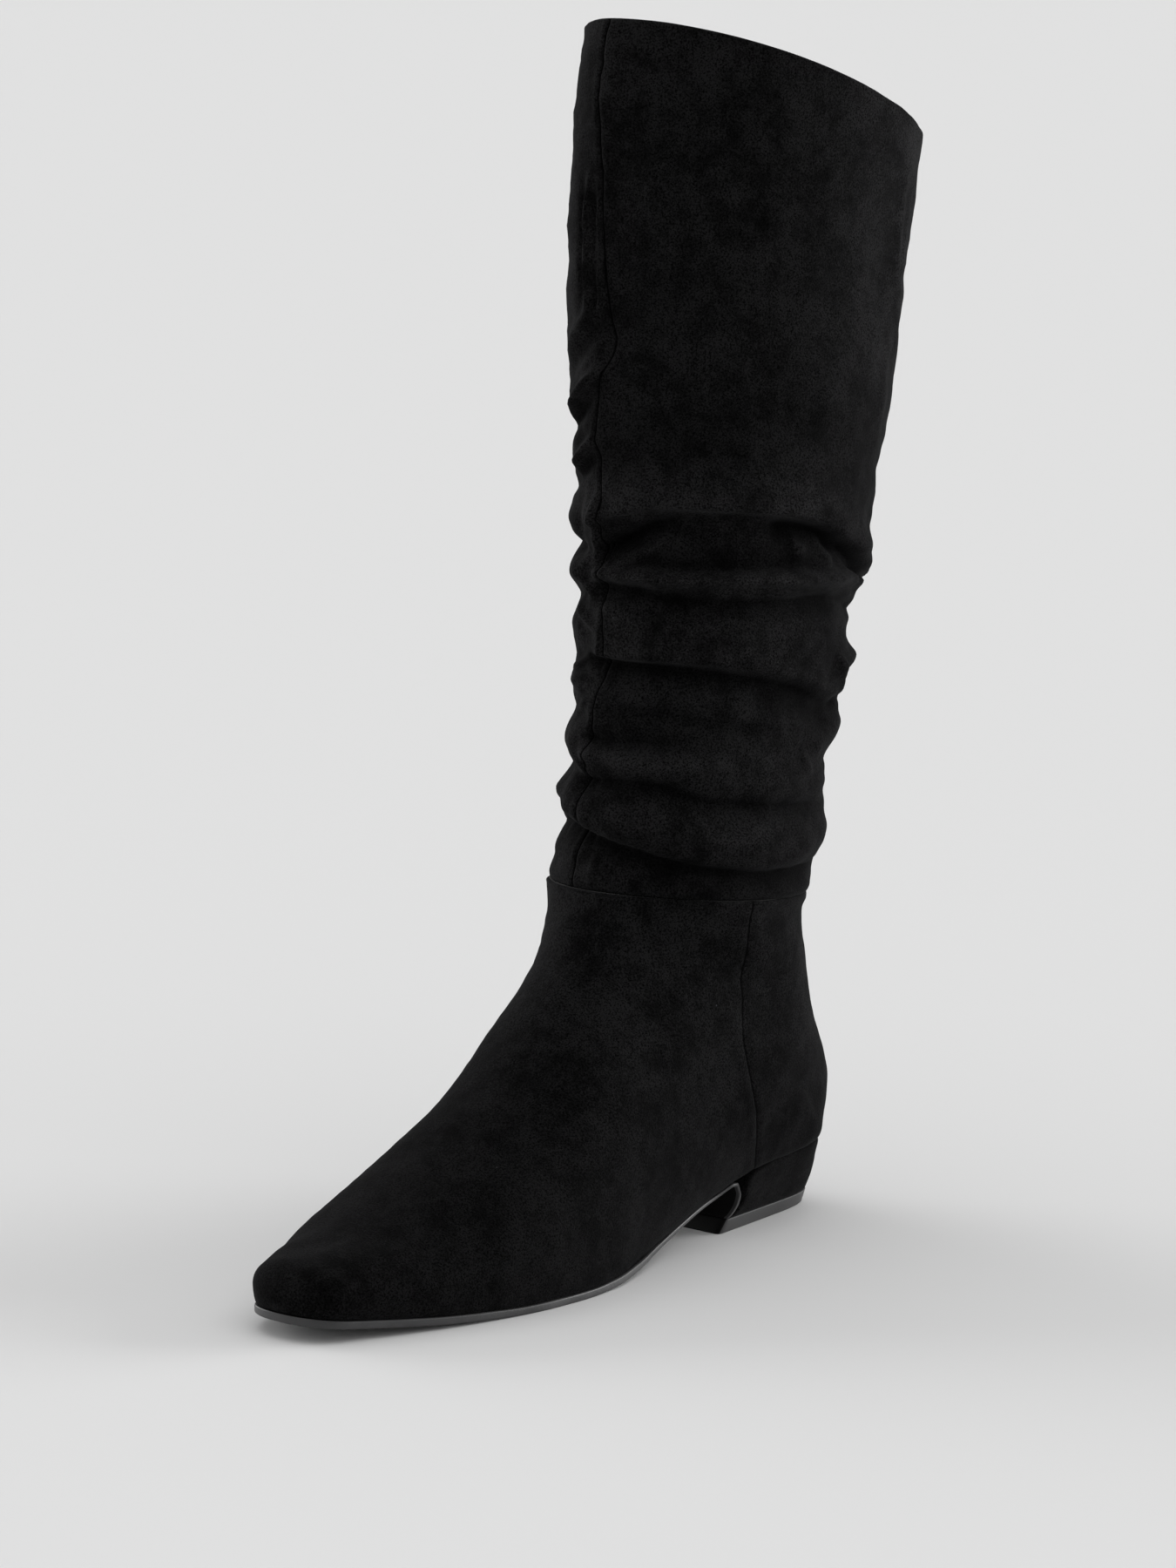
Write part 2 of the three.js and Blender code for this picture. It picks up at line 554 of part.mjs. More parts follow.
// Outsole: a thin sheet under the forefoot and waist that turns down the heel's breast
function outsoleGeometry() {
  const arch = ARCH_ALONG * SOLE_LENGTH;
  const path = [
    ...stations(0).filter((forward) => forward > arch + FLAP_BEND / 2),
    arch,
  ].map((forward) => ({ forward, height: underside(forward), back: 0, up: soleThickness(forward) }));
  const flap = soleThickness(arch);
  path.push({ forward: arch - FLAP_BEND, height: ARCH_HEIGHT - FLAP_DROP, back: flap / 2, up: flap });
  [...BREAST].reverse().forEach(({ rise, along }) => {
    const height = THREE.MathUtils.lerp(LIFT_HEIGHT + GAP, ARCH_HEIGHT, rise);
    path.push({ forward: along * SOLE_LENGTH, height, back: flap, up: 0 });
  });
  const rings = path.map(({ forward, height, back, up }) => {
    const drop = (ARCH_HEIGHT - height) / ARCH_HEIGHT * FLAP_NARROWING;
    const at = (side, share, draw) => {
      const wide = halfWidth(Math.max(forward, arch), side, 0) - (back > 0 ? drop : 0);
      const out = Math.max(wide - draw, 0);
      return place(middle(forward) + side * out, forward - back * share, height + up * share);
    };
    const bevel = SOLE_BEVEL / Math.max(up, back);
    const corners = [[1, 0, SOLE_BEVEL], [1, bevel, 0], [1, 1 - bevel, 0], [1, 1, SOLE_BEVEL]];
    const others = [...corners].reverse().map(([, share, draw]) => [-1, share, draw]);
    const loop = [...corners, ...others].map(([side, share, draw]) => at(side, share, draw));
    return [...loop, loop[0]];
  });
  return solid([...skin(rings), ...cap(rings.at(-1))]);
}

// A flat closing face of a ring whose halves mirror each other
function cap(ring) {
  const count = ring.length - 1;
  return Array.from({ length: count / 2 - 1 }, (_, i) => [
    ring[i],
    ring[i + 1],
    ring[count - 2 - i],
    ring[count - 1 - i],
  ]);
}

// One turn round the heel at a height, drawn in by a length: square in front with small corners, rounder
// behind, and narrowing evenly towards its back
function heelLoop(height, front, draw) {
  const rise = height / SEAT_HEIGHT;
  const seatWide = halfWidth(SOLE_LENGTH * BLOCK_WIDEST_ALONG, 1, SOLE_LEDGE);
  const back = THREE.MathUtils.lerp(LIFT_BACK, -SEAT_OVERHANG, rise) + draw;
  const half = THREE.MathUtils.lerp(LIFT_HALF_WIDTH, seatWide, rise) - draw;
  const powerBehind = THREE.MathUtils.lerp(HEEL_BACK_POWER, SEAT_BACK_POWER, rise);
  const shareBehind = THREE.MathUtils.lerp(HEEL_BACK_SHARE, 1, rise);
  const centre = front - half;
  return Array.from({ length: HEEL_STEPS + 1 }, (_, i) => {
    const turn = ((i % HEEL_STEPS) / HEEL_STEPS) * 2 * Math.PI;
    const facing = Math.cos(turn);
    const side = Math.sin(turn);
    const power = facing > 0 ? HEEL_FRONT_POWER : powerBehind;
    const reach = facing > 0 ? half : centre - back;
    const radius = (Math.abs(side / half) ** power + Math.abs(facing / reach) ** power) ** (-1 / power);
    const forward = centre + facing * radius;
    const across = THREE.MathUtils.lerp(shareBehind, 1, (forward - back) / (front - back));
    return { sideways: side * radius * across, forward };
  });
}

// Heel block: tapers from the seat to the lift, with a hollow breast
function heelBlockGeometry() {
  const topFront = ARCH_ALONG * SOLE_LENGTH - BLOCK_TOP_FRONT;
  const rings = Array.from({ length: HEEL_RINGS }, (_, i) => {
    const rise = i / (HEEL_RINGS - 1);
    const bottom = LIFT_HEIGHT + GAP;
    const frontHeight = THREE.MathUtils.lerp(bottom, feather(topFront) - GAP, rise);
    const breast = breastAlong((frontHeight - bottom) / (ARCH_HEIGHT - bottom)) * SOLE_LENGTH;
    const front = breast - soleThickness(topFront) - 1.5 * GAP;
    const height = THREE.MathUtils.lerp(bottom, SEAT_HEIGHT, rise);
    return heelLoop(height, front, BLOCK_SETBACK).map(({ sideways, forward }) => {
      const top = feather(Math.max(forward, 0)) - 1.5 * GAP;
      return place(sideways, forward, THREE.MathUtils.lerp(bottom, top, rise));
    });
  });
  return solid([...reversed(fan(rings[0])), ...skin(rings), ...fan(rings.at(-1))]);
}

// A closing face of a ring, as triangles round its middle
function fan(loop) {
  const middlePoint = loop.slice(1)
    .reduce((sum, point) => sum.add(point), new THREE.Vector3())
    .divideScalar(loop.length - 1);
  return loop.slice(1).map((point, i) => [loop[i], point, middlePoint]);
}

// Top lift: the worn face of the heel
function topLiftGeometry() {
  const levels = [
    { height: 0, draw: LIFT_BEVEL },
    { height: LIFT_BEVEL, draw: 0 },
    { height: LIFT_HEIGHT, draw: 0 },
  ];
  const rings = levels.map(({ height, draw }) => {
    const front = LIFT_FRONT - draw - height * LIFT_RAKE;
    return heelLoop(height, front, draw).map(({ sideways, forward }) => (
      place(sideways, forward, height)
    ));
  });
  return solid([...reversed(fan(rings[0])), ...skin(rings), ...fan(rings.at(-1))]);
}

// Insole: a board inside the upper, over the sole and the seat
function insoleGeometry() {
  const draw = SOLE_LEDGE + UPPER_WALL + 3 * GAP;
  const rings = stations(draw).map((forward) => {
    const bottom = feather(forward);
    const at = (side, height) => place(
      middle(forward) + side * halfWidth(forward, side, draw),
      forward,
      height,
    );
    const top = bottom + INSOLE_THICKNESS;
    const loop = [at(1, bottom), at(1, top), at(-1, top), at(-1, bottom)];
    return [...loop, loop[0]];
  });
  return solid([...reversed(cap(rings[0])), ...skin(rings), ...cap(rings.at(-1))]);
}

function part(name, geometry, color, roughness) {
  const mesh = new THREE.Mesh(geometry, new THREE.MeshStandardMaterial({ color, roughness, metalness: 0 }));
  mesh.name = name;
  return mesh;
}

const SUEDE = 0x17171a;
const RUBBER = 0x2a2a2c;
const BOARD = 0x3a3530;

const boot = new THREE.Group();
boot.add(part('upper', upperGeometry(), SUEDE, 0.95));
boot.add(part('shaft', shaftGeometry(), SUEDE, 0.95));
boot.add(part('outsole', outsoleGeometry(), RUBBER, 0.5));
boot.add(part('heel_block', heelBlockGeometry(), SUEDE, 0.95));
boot.add(part('top_lift', topLiftGeometry(), RUBBER, 0.5));
boot.add(part('insole', insoleGeometry(), BOARD, 0.9));

export default boot;
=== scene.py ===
"""Slouch boot for the left foot: its suede, folds, seams, lining and sole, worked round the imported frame.

Sizes are millimetres until a mesh is made. X is the outer side, -Y the toe and Z up, as in the frame.
"""
import math

import bpy
import numpy as np
from mathutils import Matrix, Vector


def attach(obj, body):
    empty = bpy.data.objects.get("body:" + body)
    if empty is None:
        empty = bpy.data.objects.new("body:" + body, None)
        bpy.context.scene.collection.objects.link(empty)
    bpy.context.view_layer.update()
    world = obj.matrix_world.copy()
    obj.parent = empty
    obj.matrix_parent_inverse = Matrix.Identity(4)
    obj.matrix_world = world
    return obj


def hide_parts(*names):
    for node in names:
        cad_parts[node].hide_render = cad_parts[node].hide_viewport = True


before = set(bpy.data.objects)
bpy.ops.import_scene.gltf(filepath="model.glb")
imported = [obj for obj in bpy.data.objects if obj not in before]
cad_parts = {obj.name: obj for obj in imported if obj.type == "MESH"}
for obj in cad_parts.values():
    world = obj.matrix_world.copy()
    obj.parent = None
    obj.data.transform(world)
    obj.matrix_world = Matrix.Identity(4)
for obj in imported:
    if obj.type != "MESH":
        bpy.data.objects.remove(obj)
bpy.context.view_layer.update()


# Sizes of the last, the shaft and the heel, as the frame's solids have them

SOLE_LENGTH = 256
BALL_OUTER = 41.1
BALL_INNER = 36.8
SEAT_HEIGHT = 25.5
ARCH_HEIGHT = 16
TOE_SPRING = 6
TOE_SWING = 2
ANKLE_FRONT = 120
ANKLE_BACK = 112
COLLAR_FRONT = 400
COLLAR_BACK = 353
COLLAR_DIP = 1.1
UPPER_WALL = 2
SHAFT_WALL = 1.8
SOLE_THICKNESS = 2.6
SOLE_BEVEL = 0.5
SOLE_LEDGE = 0.6
FLAP_NARROWING = 2
FLAP_BEND = 2
FLAP_DROP = 0.1
INSOLE_THICKNESS = 2
GAP = 0.3
LIFT_HEIGHT = 5
LIFT_BACK = 1.5
LIFT_FRONT = 61
LIFT_HALF_WIDTH = 22
LIFT_BEVEL = 0.5
LIFT_RAKE = 0.5
BLOCK_SETBACK = 0.3
BLOCK_TOP_FRONT = 6
BLOCK_WIDEST_ALONG = 0.12
HEEL_FRONT_POWER = 30
HEEL_BACK_POWER = 5
SEAT_BACK_POWER = 2.3
HEEL_BACK_SHARE = 0.74
SEAT_OVERHANG = 0.6
HEEL_ROUNDING = 25
TOE_ROUNDING = 14
TOE_TOP_ROUNDING = 11
HEEL_END_POWER = 3
TOE_END_POWER = 2.6
TOE_END_ROOT = 0.42
EDGE_TUCK = 0.6
CUP_FROM = 0.1
CUP_TO = 0.7
CUP_BLEND = 9
CORNER_REACH = 0.2
CORNER_SAMPLES = 9
CORNER_TURN = 0.9
ORIGIN_FORWARD = (LIFT_BACK + LIFT_FRONT) / 2

# Sizes of the meshes and the finish
FOOT_GIRTH = 260
HALF_GIRTH = 168
FACING_DEPTH = 24
SOFTEN_SHARE = 0.6
SOFTEN_ROUNDS = 36
FOLD_START = 4
FOLD_FULL = 9
DEGREE_WIDTH = 0.85
SEAM_REACH = 8.0
ANKLE_SEAM_SCALE = 1.5
# painted shade of the foot's suede: its tone at the sole and at the ankle
FOOT_PAINTED_SHADE_LOW = 0.74
FOOT_PAINTED_SHADE_HIGH = 1.06
HEEL_TONE = 0.7


def table(names, text):
    """A table's columns by name, from rows of numbers"""
    rows = np.array([[float(word) for word in line.split()] for line in text.strip().splitlines()])
    return dict(zip(names.split(), rows.T))


def fold_table(text):
    """Folds from rows of six numbers and the knots of a path, whose share is 1 where none is given; an
    indented line carries on the path above it"""
    names = ("out", "above", "below", "sharp", "droop", "dark")
    folds = []
    for line in text.strip().replace("\n ", " ").splitlines():
        words = line.split()
        fold = dict(zip(names, map(float, words)))
        knots = [(word + ":1").split(":")[:3] for word in words[len(names):]]
        fold["path"] = dict(zip(("angle", "height", "share"), np.array(knots, float).T))
        folds.append(fold)
    return folds


EDGE = table("along outer inner", """
0.00 0.64 0.70
0.07 0.69 0.75
0.13 0.70 0.76
0.19 0.655 0.70
0.26 0.56 0.60
0.34 0.65 0.61
0.41 0.76 0.69
0.47 0.88 0.79
0.54 0.98 0.89
0.60 1.00 0.96
0.66 0.98 1.00
0.72 0.92 0.99
0.80 0.80 0.89
0.88 0.63 0.71
0.94 0.48 0.55
1.00 0.37 0.42
""")
UNDERSIDE = table("along arch spring thick", """
0.224 1.00 0.00 0.50
0.258 0.77 0.00 0.55
0.337 0.51 0.00 0.65
0.407 0.29 0.00 0.80
0.475 0.13 0.00 0.95
0.545 0.03 0.00 1.00
0.585 0.00 0.00 1.00
0.700 0.00 0.00 1.00
0.760 0.00 0.10 1.00
0.820 0.00 0.24 1.00
0.880 0.00 0.44 1.00
0.940 0.00 0.68 1.00
1.000 0.00 1.00 1.00
""")
SEAT = table("along height", """
0.000 1.000
0.070 0.985
0.130 0.935
0.190 0.825
""")
BREAST = table("height front", """
5.3 58.4
7.5 55.6
10.0 53.9
12.5 53.4
14.6 54.4
""")
BACK = table("rise forward", """
0.00 0.0
0.10 -3.8
0.22 -6.2
0.40 1.0
0.60 8.4
0.80 13.0
0.92 15.6
1.00 14.0
""")
FOOT = table("run along height outer inner widest round", """
0.00 1.000 0.180 0.40 0.455 0.42 0.80
0.06 0.941 0.200 0.515 0.59 0.42 0.85
0.12 0.882 0.222 0.67 0.75 0.42 0.90
0.20 0.802 0.283 0.845 0.935 0.40 1.00
0.28 0.723 0.362 0.97 1.02 0.38 1.05
0.34 0.664 0.434 1.03 1.02 0.36 1.08
0.40 0.605 0.510 1.035 0.99 0.35 1.08
0.46 0.555 0.600 1.01 0.96 0.35 1.05
0.54 0.514 0.690 0.96 0.95 0.37 1.00
0.66 0.483 0.752 0.91 0.95 0.41 0.96
0.78 0.461 0.802 0.89 0.96 0.43 0.93
0.88 0.449 0.839 0.91 0.97 0.45 0.92
1.00 0.444 0.872 0.94 1.00 0.46 0.90
1.15 0.440 0.897 0.93 1.02 0.47 0.90
1.35 0.434 0.926 0.90 1.02 0.48 0.92
1.60 0.426 0.955 0.94 1.01 0.49 0.96
1.80 0.423 0.978 0.97 1.02 0.49 0.98
2.00 0.420 1.000 1.02 1.03 0.49 1.00
""")
SHAFT = table("share back front outer inner widest", """
0.00 14.0 107.5 1.02 1.03 0.49
0.05 9.5 106.5 1.04 0.95 0.49
0.13 7.0 104.0 1.05 0.89 0.49
0.32 -2.0 101.0 1.10 0.87 0.50
0.55 -16.5 101.5 1.19 0.94 0.50
0.76 -27.0 101.5 1.24 1.00 0.50
1.00 -35.0 98.0 1.27 1.02 0.50
""")

# Folds of the slack shaft, on the front and the outer side. A row holds
# out: how far the fold stands out, or sinks in when negative
# above, below: its half heights
# sharp: 2 is a soft roll and 1 a pinched crease
# droop: how far its lip hangs down
# dark: how much painted shade blackens its hollow, or when negative how much painted highlight brightens it
# and its path as angle:height or angle:height:share, the angle from the front towards the outer side and the
# share of the full depth there
FOLDS = fold_table("""
3.4 9 2.6 2 1.6 -0.35 -20:238:.4 -2:242:.8 12:246 25:248 45:247.5 65:246 84:241.5 104:233.5 118:227.5
    132:222 150:216 175:210:.5 210:206:.2
-2.6 5 7 2 0 0.12 -6:230:.5 8:234 30:237 60:237.5 85:235 105:228 120:220:.6 134:213:.2
-2.0 5.0 1.4 2 0 0.50 4:226:.3 16:227 50:226.5 75:226 94:223.5:.4
-3.6 1.8 3.6 1.7 0 0.95 -8:230:.4 3:233.5 12:237 20:240:.8 32:242:.4 50:242.5:.25
-3.6 2.2 4.6 1.6 0 0.85 62:240:.4 70:239.5 84:238.5:.9 98:232 112:226.5 124:221:.9 136:215:.3
3.4 1.5 3.0 2.2 0.8 -0.50 -12:222.5:.6 8:224 27:223.5 62:223 79:222 100:221 115:219.5 128:217 142:214:.5
    160:212:.2
-3.0 1.6 4.2 1.4 0 0.62 -10:218.5:.4 5:219 28:217 54:215 70:214.5 89:214.5 108:212.5 123:209 140:205:.4
    160:203:.2
1.6 8 8 2 0 -0.12 -8:206:.5 20:205 50:204 80:200 110:194 140:188:.6 180:184:.4
1.3 4 1.8 2 1.2 -0.12 -6:198 30:198 57:195.5 86:190 103:184.5 118:181:.6 140:178:.2
-3.0 1.4 4.6 1.3 0 0.75 -8:195:.7 10:194.5 30:194 57:191 86:185.5 103:180 114:177.5:.7 126:176:.3
-1.4 4 5 2 0 0.40 64:184:.5 85:180.5 103:175 114:172:.5
-1.3 2.6 4 1.6 0 0.38 -2:178.5 27:179 49:175.5 67:173.6 92:171:.4
2.4 3.6 4 2 0 -0.1 104:188:.3 118:190 132:191 150:189:.7 185:187:.3
2.4 4 4 2 0 -0.1 96:165:.3 112:167.5 130:168 160:166 200:164:.5
-1.8 2.4 3 1.7 0 0.25 112:179:.3 124:180 140:180 160:178:.6
-1.6 2.4 3 1.7 0 0.25 108:157:.3 122:157.5 140:157 160:156:.6
-2.2 4 2.4 1.6 0 0.50 -12:170:.6 5:169 22:169.5 44:169:.4
2.0 2.2 3.4 2 0.5 -0.40 -18:163.5:.6 -1:164.5 22:163.3 38:163 60:161.5:.4
-2.5 1.6 3.8 1.3 0 0.58 -18:156:.6 -6:155.5 10:156 25:156 40:153 54:150 77:148 95:146.5 112:144.5:.6
    126:143:.3
2.4 6 6 2 0.8 -0.15 -30:148 0:146 30:142 60:137 90:135 120:134 150:134:.6 200:134:.4
-3.6 1.3 5.0 1.25 0 0.72 -36:143:.6 -26:141.5 -4:138.5 15:135.5 36:131.4 57:128 81:125.5 101:124.8
    116:124.5:.7 140:124:.3
-1.4 9 7 2 0 0.20 -25:262:.5 -3:259 20:264 38:268 58:254:.6
-1.0 8 7 2 0 0.16 -8:306 4:307 23:315 40:318:.6
3.3 72 56 2 0 0 -125:322:.3 -85:322 -40:322 -14:322:.7 6:322:.2
-0.8 9 8 2 0 0.12 2:364 24:365 48:366:.6
-1.0 8 6 2 0 0.12 40:278:.5 70:272 100:264 125:256 150:248:.5
""")

# Folds of the inner side and the back
FOLDS += fold_table("""
1.9 6 4 2 1 -0.2 -160:228:.6 -120:239 -75:240 -45:238 -25:236
-2.0 3 3.5 1.5 0 0.4 -165:220:.6 -120:229 -75:230 -45:231 -18:230
1.9 4.5 4 2 1 -0.2 -155:215:.6 -110:221 -75:221 -50:221 -14:224
-1.3 2.6 3.4 1.5 0 0.4 -165:206:.6 -120:211 -75:212 -45:213 -12:215
0.8 5 4 2 0.8 -0.2 -150:200:.6 -110:204 -75:203 -45:204 -15:203
-1.0 3.5 4 1.5 0 0.4 -170:190:.6 -120:193 -75:193 -45:194 -8:194
0.6 4 4 2 0.5 -0.1 -150:184:.6 -110:185 -75:186 -40:187 -15:186
-1.2 3.2 3.6 1.5 0 0.4 -165:176:.6 -120:179 -75:177 -45:177 -10:178
1.1 4.5 3.6 2 0.9 -0.2 -150:164:.6 -110:167 -75:166 -45:167 -20:166
-1.2 2.6 3.2 1.5 0 0.4 -165:155:.6 -120:159 -75:157 -45:158 -14:157
2.4 3.4 4 2 0.8 -0.2 -160:146:.6 -120:148 -75:149 -45:150 -25:149
-2.2 2.2 4 1.4 0 0.5 -170:133:.6 -120:137 -75:136 -45:138 -28:141
-1.6 4 4 1.8 0 0.3 120:196:.3 150:199 180:200 210:200:.4
-1.6 3.5 4 1.8 0 0.3 124:157:.3 150:156 180:155 205:155:.5
-1.2 3 4 1.8 0 0.3 150:177:.3 170:176 200:175:.5
""")

# Short folds that run across the others: start and end as angle and height, how far out, and half width
DARTS = table("angle height to_angle to_height out width", """
4 225.5 27 236.5 1.9 1.7
30 238 48 229 -0.7 2.4
92 236 126 220 1.5 1.1
98 230.5 128 216 1.4 1.1
86 235 100 225 1.2 1.5
74 239 83 227 1.3 2.2
108 195 118 184 1.4 1.6
115 187 125 176 1.4 1.6
78 177 85 169 0.6 1.4
92 165 104 155 0.8 1.6
97 170 108 160 0.7 1.6
4 290 -34 268.5 2.3 2.2
-2 282 -64 260 -1.8 3.2
-4 267 -32 253 2.0 2.0
-6 261 -62 245 -1.4 2.8
3 310 -32 291 1.0 2.6
2 304 -34 285 -1.0 3.2
-12 352 -9.5 306 1.3 1.6
-18 350 -15 306 -1.1 2.2
-8 346 -6 304 -1.2 1.4
-4 344 -2 306 0.9 1.2
-4 250 -8 226 0.9 1.8
-30 213 -3 205 1.3 1.3
-28 226 -8 214 1.0 1.4
-34 190 -8 197 0.9 1.6
-26 168 -6 158 1.2 1.4
-30 175 -10 181 0.8 1.6
4 133 2 122 0.7 1.4
128 330 122 262 -0.8 6.0
96 352 104 300 -0.6 7.0
114 354 119 298 0.9 1.8
120 340 124 284 0.8 1.6
112 300 120 258 0.6 3.0
""")

# The seams down the shaft's front and back: angle by height
FRONT_SEAM = table("height angle", """
120 -9.5
128 -10
139 -8
157 -8
178 -4
194 3
215 -1
235 -4
247 0
257 -7
281 -3
299 5
305 2
332 -1
358 -5
378 -9
400 -6
""")
BACK_SEAM = table("height angle", """
112 180
150 182
190 178
240 181
353 180
""")

# The seam between the vamp and the heel's counter: distance forward of the heel by height
SIDE_SEAM = table("height forward", """
20 49
28 54.4
36 58
45 61.2
54 65
63 68.4
73 70.3
84 69.8
98 69.8
112 71.3
""")


# Curves and shapes shared by the pieces

def curve(rows, key, at):
    """Monotone cubic through a column over the table's first one: a Hermite piece between rows, whose slope
    at a row is the weighted harmonic mean of the slopes beside it, or level where they turn over"""
    x, y = next(iter(rows.values())), rows[key]
    step = np.diff(x)
    slope = np.diff(y) / step
    before = 2 * step[1:] + step[:-1]
    after = step[1:] + 2 * step[:-1]
    with np.errstate(divide="ignore", invalid="ignore"):
        mean = (before + after) / (before / slope[:-1] + after / slope[1:])
    inner = np.where(slope[:-1] * slope[1:] > 0, mean, 0)
    tangent = np.concatenate([slope[:1], inner, slope[-1:]])
    at = np.clip(at, x[0], x[-1])
    i = np.clip(np.searchsorted(x, at, side="right") - 1, 0, len(step) - 1)
    t = (at - x[i]) / step[i]
    leave = t * (1 - t) ** 2 * tangent[i]
    arrive = t * t * (1 - t) * tangent[i + 1]
    return y[i] + (y[i + 1] - y[i]) * t * t * (3 - 2 * t) + (leave - arrive) * step[i]


def lerp(a, b, share):
    """The value that lies a share of the way from a to b"""
    return a + (b - a) * share


def smooth(value, low, high):
    """A smooth step from 0 at low to 1 at high: three times the square of the way less twice its cube"""
    t = np.clip((value - low) / (high - low), 0, 1)
    return t * t * (3 - 2 * t)


def waves(points, length, seed, count=16):
    """A soft random field about 1 high: the sum of plane waves of one length in seeded directions"""
    random = np.random.default_rng(seed)
    way = random.normal(size=(3, count))
    way /= np.linalg.norm(way, axis=0)
    phase = random.uniform(0, 2 * np.pi, count)
    return np.cos(points @ way * (2 * np.pi / length) + phase).sum(-1) / math.sqrt(count)


def spaced(length, gap):
    """Places from 0 to length whose distances follow the gap at a place: the running sum of one over the
    gap, cut into an even number of equal parts"""
    fine = np.linspace(0, length, 6001)
    dense = 1 / gap(fine)
    total = np.concatenate([[0], np.cumsum((dense[1:] + dense[:-1]) / 2 * np.diff(fine))])
    count = 2 * math.ceil(total[-1] / 2)
    return np.interp(np.linspace(0, total[-1], count + 1), total, fine)


def place(sideways, forward, height):
    """Points from their sideways places, distances forward of the heel's back and heights"""
    return np.stack(np.broadcast_arrays(sideways, ORIGIN_FORWARD - forward, height), -1).astype(float)


def round_end(distance, length):
    """Grows from 0 at an end to 1 at the length from it, round as a heel"""
    left = np.clip(1 - distance / length, 0, 1)
    return np.sqrt(1 - left ** HEEL_END_POWER)


def blunt_end(distance, length):
    """Grows from 0 at an end to 1 at the length from it, blunt as a toe"""
    left = np.clip(1 - distance / length, 0, 1)
    return (1 - left ** TOE_END_POWER) ** TOE_END_ROOT


def ball_width(rows, at, outer):
    """A table's outer or inner column, which holds shares of the ball's half width on that side"""
    return np.where(outer, curve(rows, "outer", at) * BALL_OUTER, curve(rows, "inner", at) * BALL_INNER)


def half_width(forward, outer, inset):
    """Half width of the sole's edge on the outer or the inner side, drawn in by an inset"""
    wide = ball_width(EDGE, forward / SOLE_LENGTH, outer)
    heel = round_end(forward - inset, HEEL_ROUNDING - inset)
    toe = blunt_end(SOLE_LENGTH - inset - forward, TOE_ROUNDING - inset)
    return np.maximum(wide - inset, 0) * heel * toe


def middle(forward):
    """The foot's middle line leaves the heel's towards the toe by a power of the way past the waist"""
    past = np.clip(forward / SOLE_LENGTH - 0.5, 0, 0.5) / 0.5
    return TOE_SWING * past ** 1.5


def underside(forward):
    """Height of the sole's lower face: a share of the arch's height plus a share of the toe spring"""
    along = forward / SOLE_LENGTH
    return (curve(UNDERSIDE, "arch", along) * ARCH_HEIGHT
            + curve(UNDERSIDE, "spring", along) * TOE_SPRING)


def sole_thickness(forward):
    """Thickness of the sole: a share of the full one, less towards the arch"""
    return curve(UNDERSIDE, "thick", forward / SOLE_LENGTH) * SOLE_THICKNESS


ARCH = UNDERSIDE["along"][0] * SOLE_LENGTH
SOLE_ROWS = UNDERSIDE["along"] * SOLE_LENGTH
SOLE_TOP = underside(SOLE_ROWS) + sole_thickness(SOLE_ROWS) + GAP
FEATHER = dict(along=np.concatenate([SEAT["along"], UNDERSIDE["along"]]),
               height=np.concatenate([SEAT["height"] * SEAT_HEIGHT, SOLE_TOP]))


def feather(forward):
    """Height of the upper's lower edge"""
    return curve(FEATHER, "height", forward / SOLE_LENGTH)


# Meshes

def counted(first, rows, columns):
    """The numbers of a grid's points, counted from first, row by row"""
    return first + np.arange(rows * columns).reshape(rows, columns)


def grid_faces(first, rows, columns):
    """Two triangles to each cell of a counted grid"""
    at = counted(first, rows, columns)
    a, b, c, d = at[:-1, :-1], at[:-1, 1:], at[1:, 1:], at[1:, :-1]
    return np.concatenate([np.stack([a, b, c], -1).reshape(-1, 3), np.stack([a, c, d], -1).reshape(-1, 3)])


def strip_faces(low, high):
    """Triangles between two rows of as many points; where one row has half the cells of the other,
    each of its cells meets two"""
    if len(low) == len(high):
        a, b, c, d = low[:-1], low[1:], high[1:], high[:-1]
        return np.concatenate([np.stack([a, b, c], -1), np.stack([a, c, d], -1)])
    if len(low) > len(high):
        start, mid, end = low[:-1:2], low[1::2], low[2::2]
        left, right = high[:-1], high[1:]
        return np.concatenate([np.stack([start, mid, left], -1), np.stack([mid, end, right], -1),
                               np.stack([mid, right, left], -1)])
    return strip_faces(high, low)[:, ::-1]


def fan_faces(ring, centre):
    """Triangles from a closed ring, whose last point repeats its first, to a middle point"""
    return np.stack([ring[:-1], ring[1:], np.full(len(ring) - 1, centre)], -1)


def weld(points, faces, fields, slots):
    """Points nearer than a micrometre become one, faces that lose an edge go, and the skin is turned
    so that the sum of its faces' signed volumes is positive"""
    _, first, joined = np.unique(np.round(points, 3), axis=0, return_index=True, return_inverse=True)
    joined = joined.reshape(-1)
    faces = joined[faces]
    whole = (faces[:, 0] != faces[:, 1]) & (faces[:, 1] != faces[:, 2]) & (faces[:, 2] != faces[:, 0])
    faces, slots = faces[whole], slots[whole]
    points = points[first]
    a, b, c = (points[faces[:, i]] for i in range(3))
    if (a * np.cross(b, c)).sum() < 0:
        faces = faces[:, ::-1]
    return points, faces, {name: field[first] for name, field in fields.items()}, slots


def stand(name, data):
    """An object of the scene"""
    made = bpy.data.objects.new(name, data)
    bpy.context.scene.collection.objects.link(made)
    return made


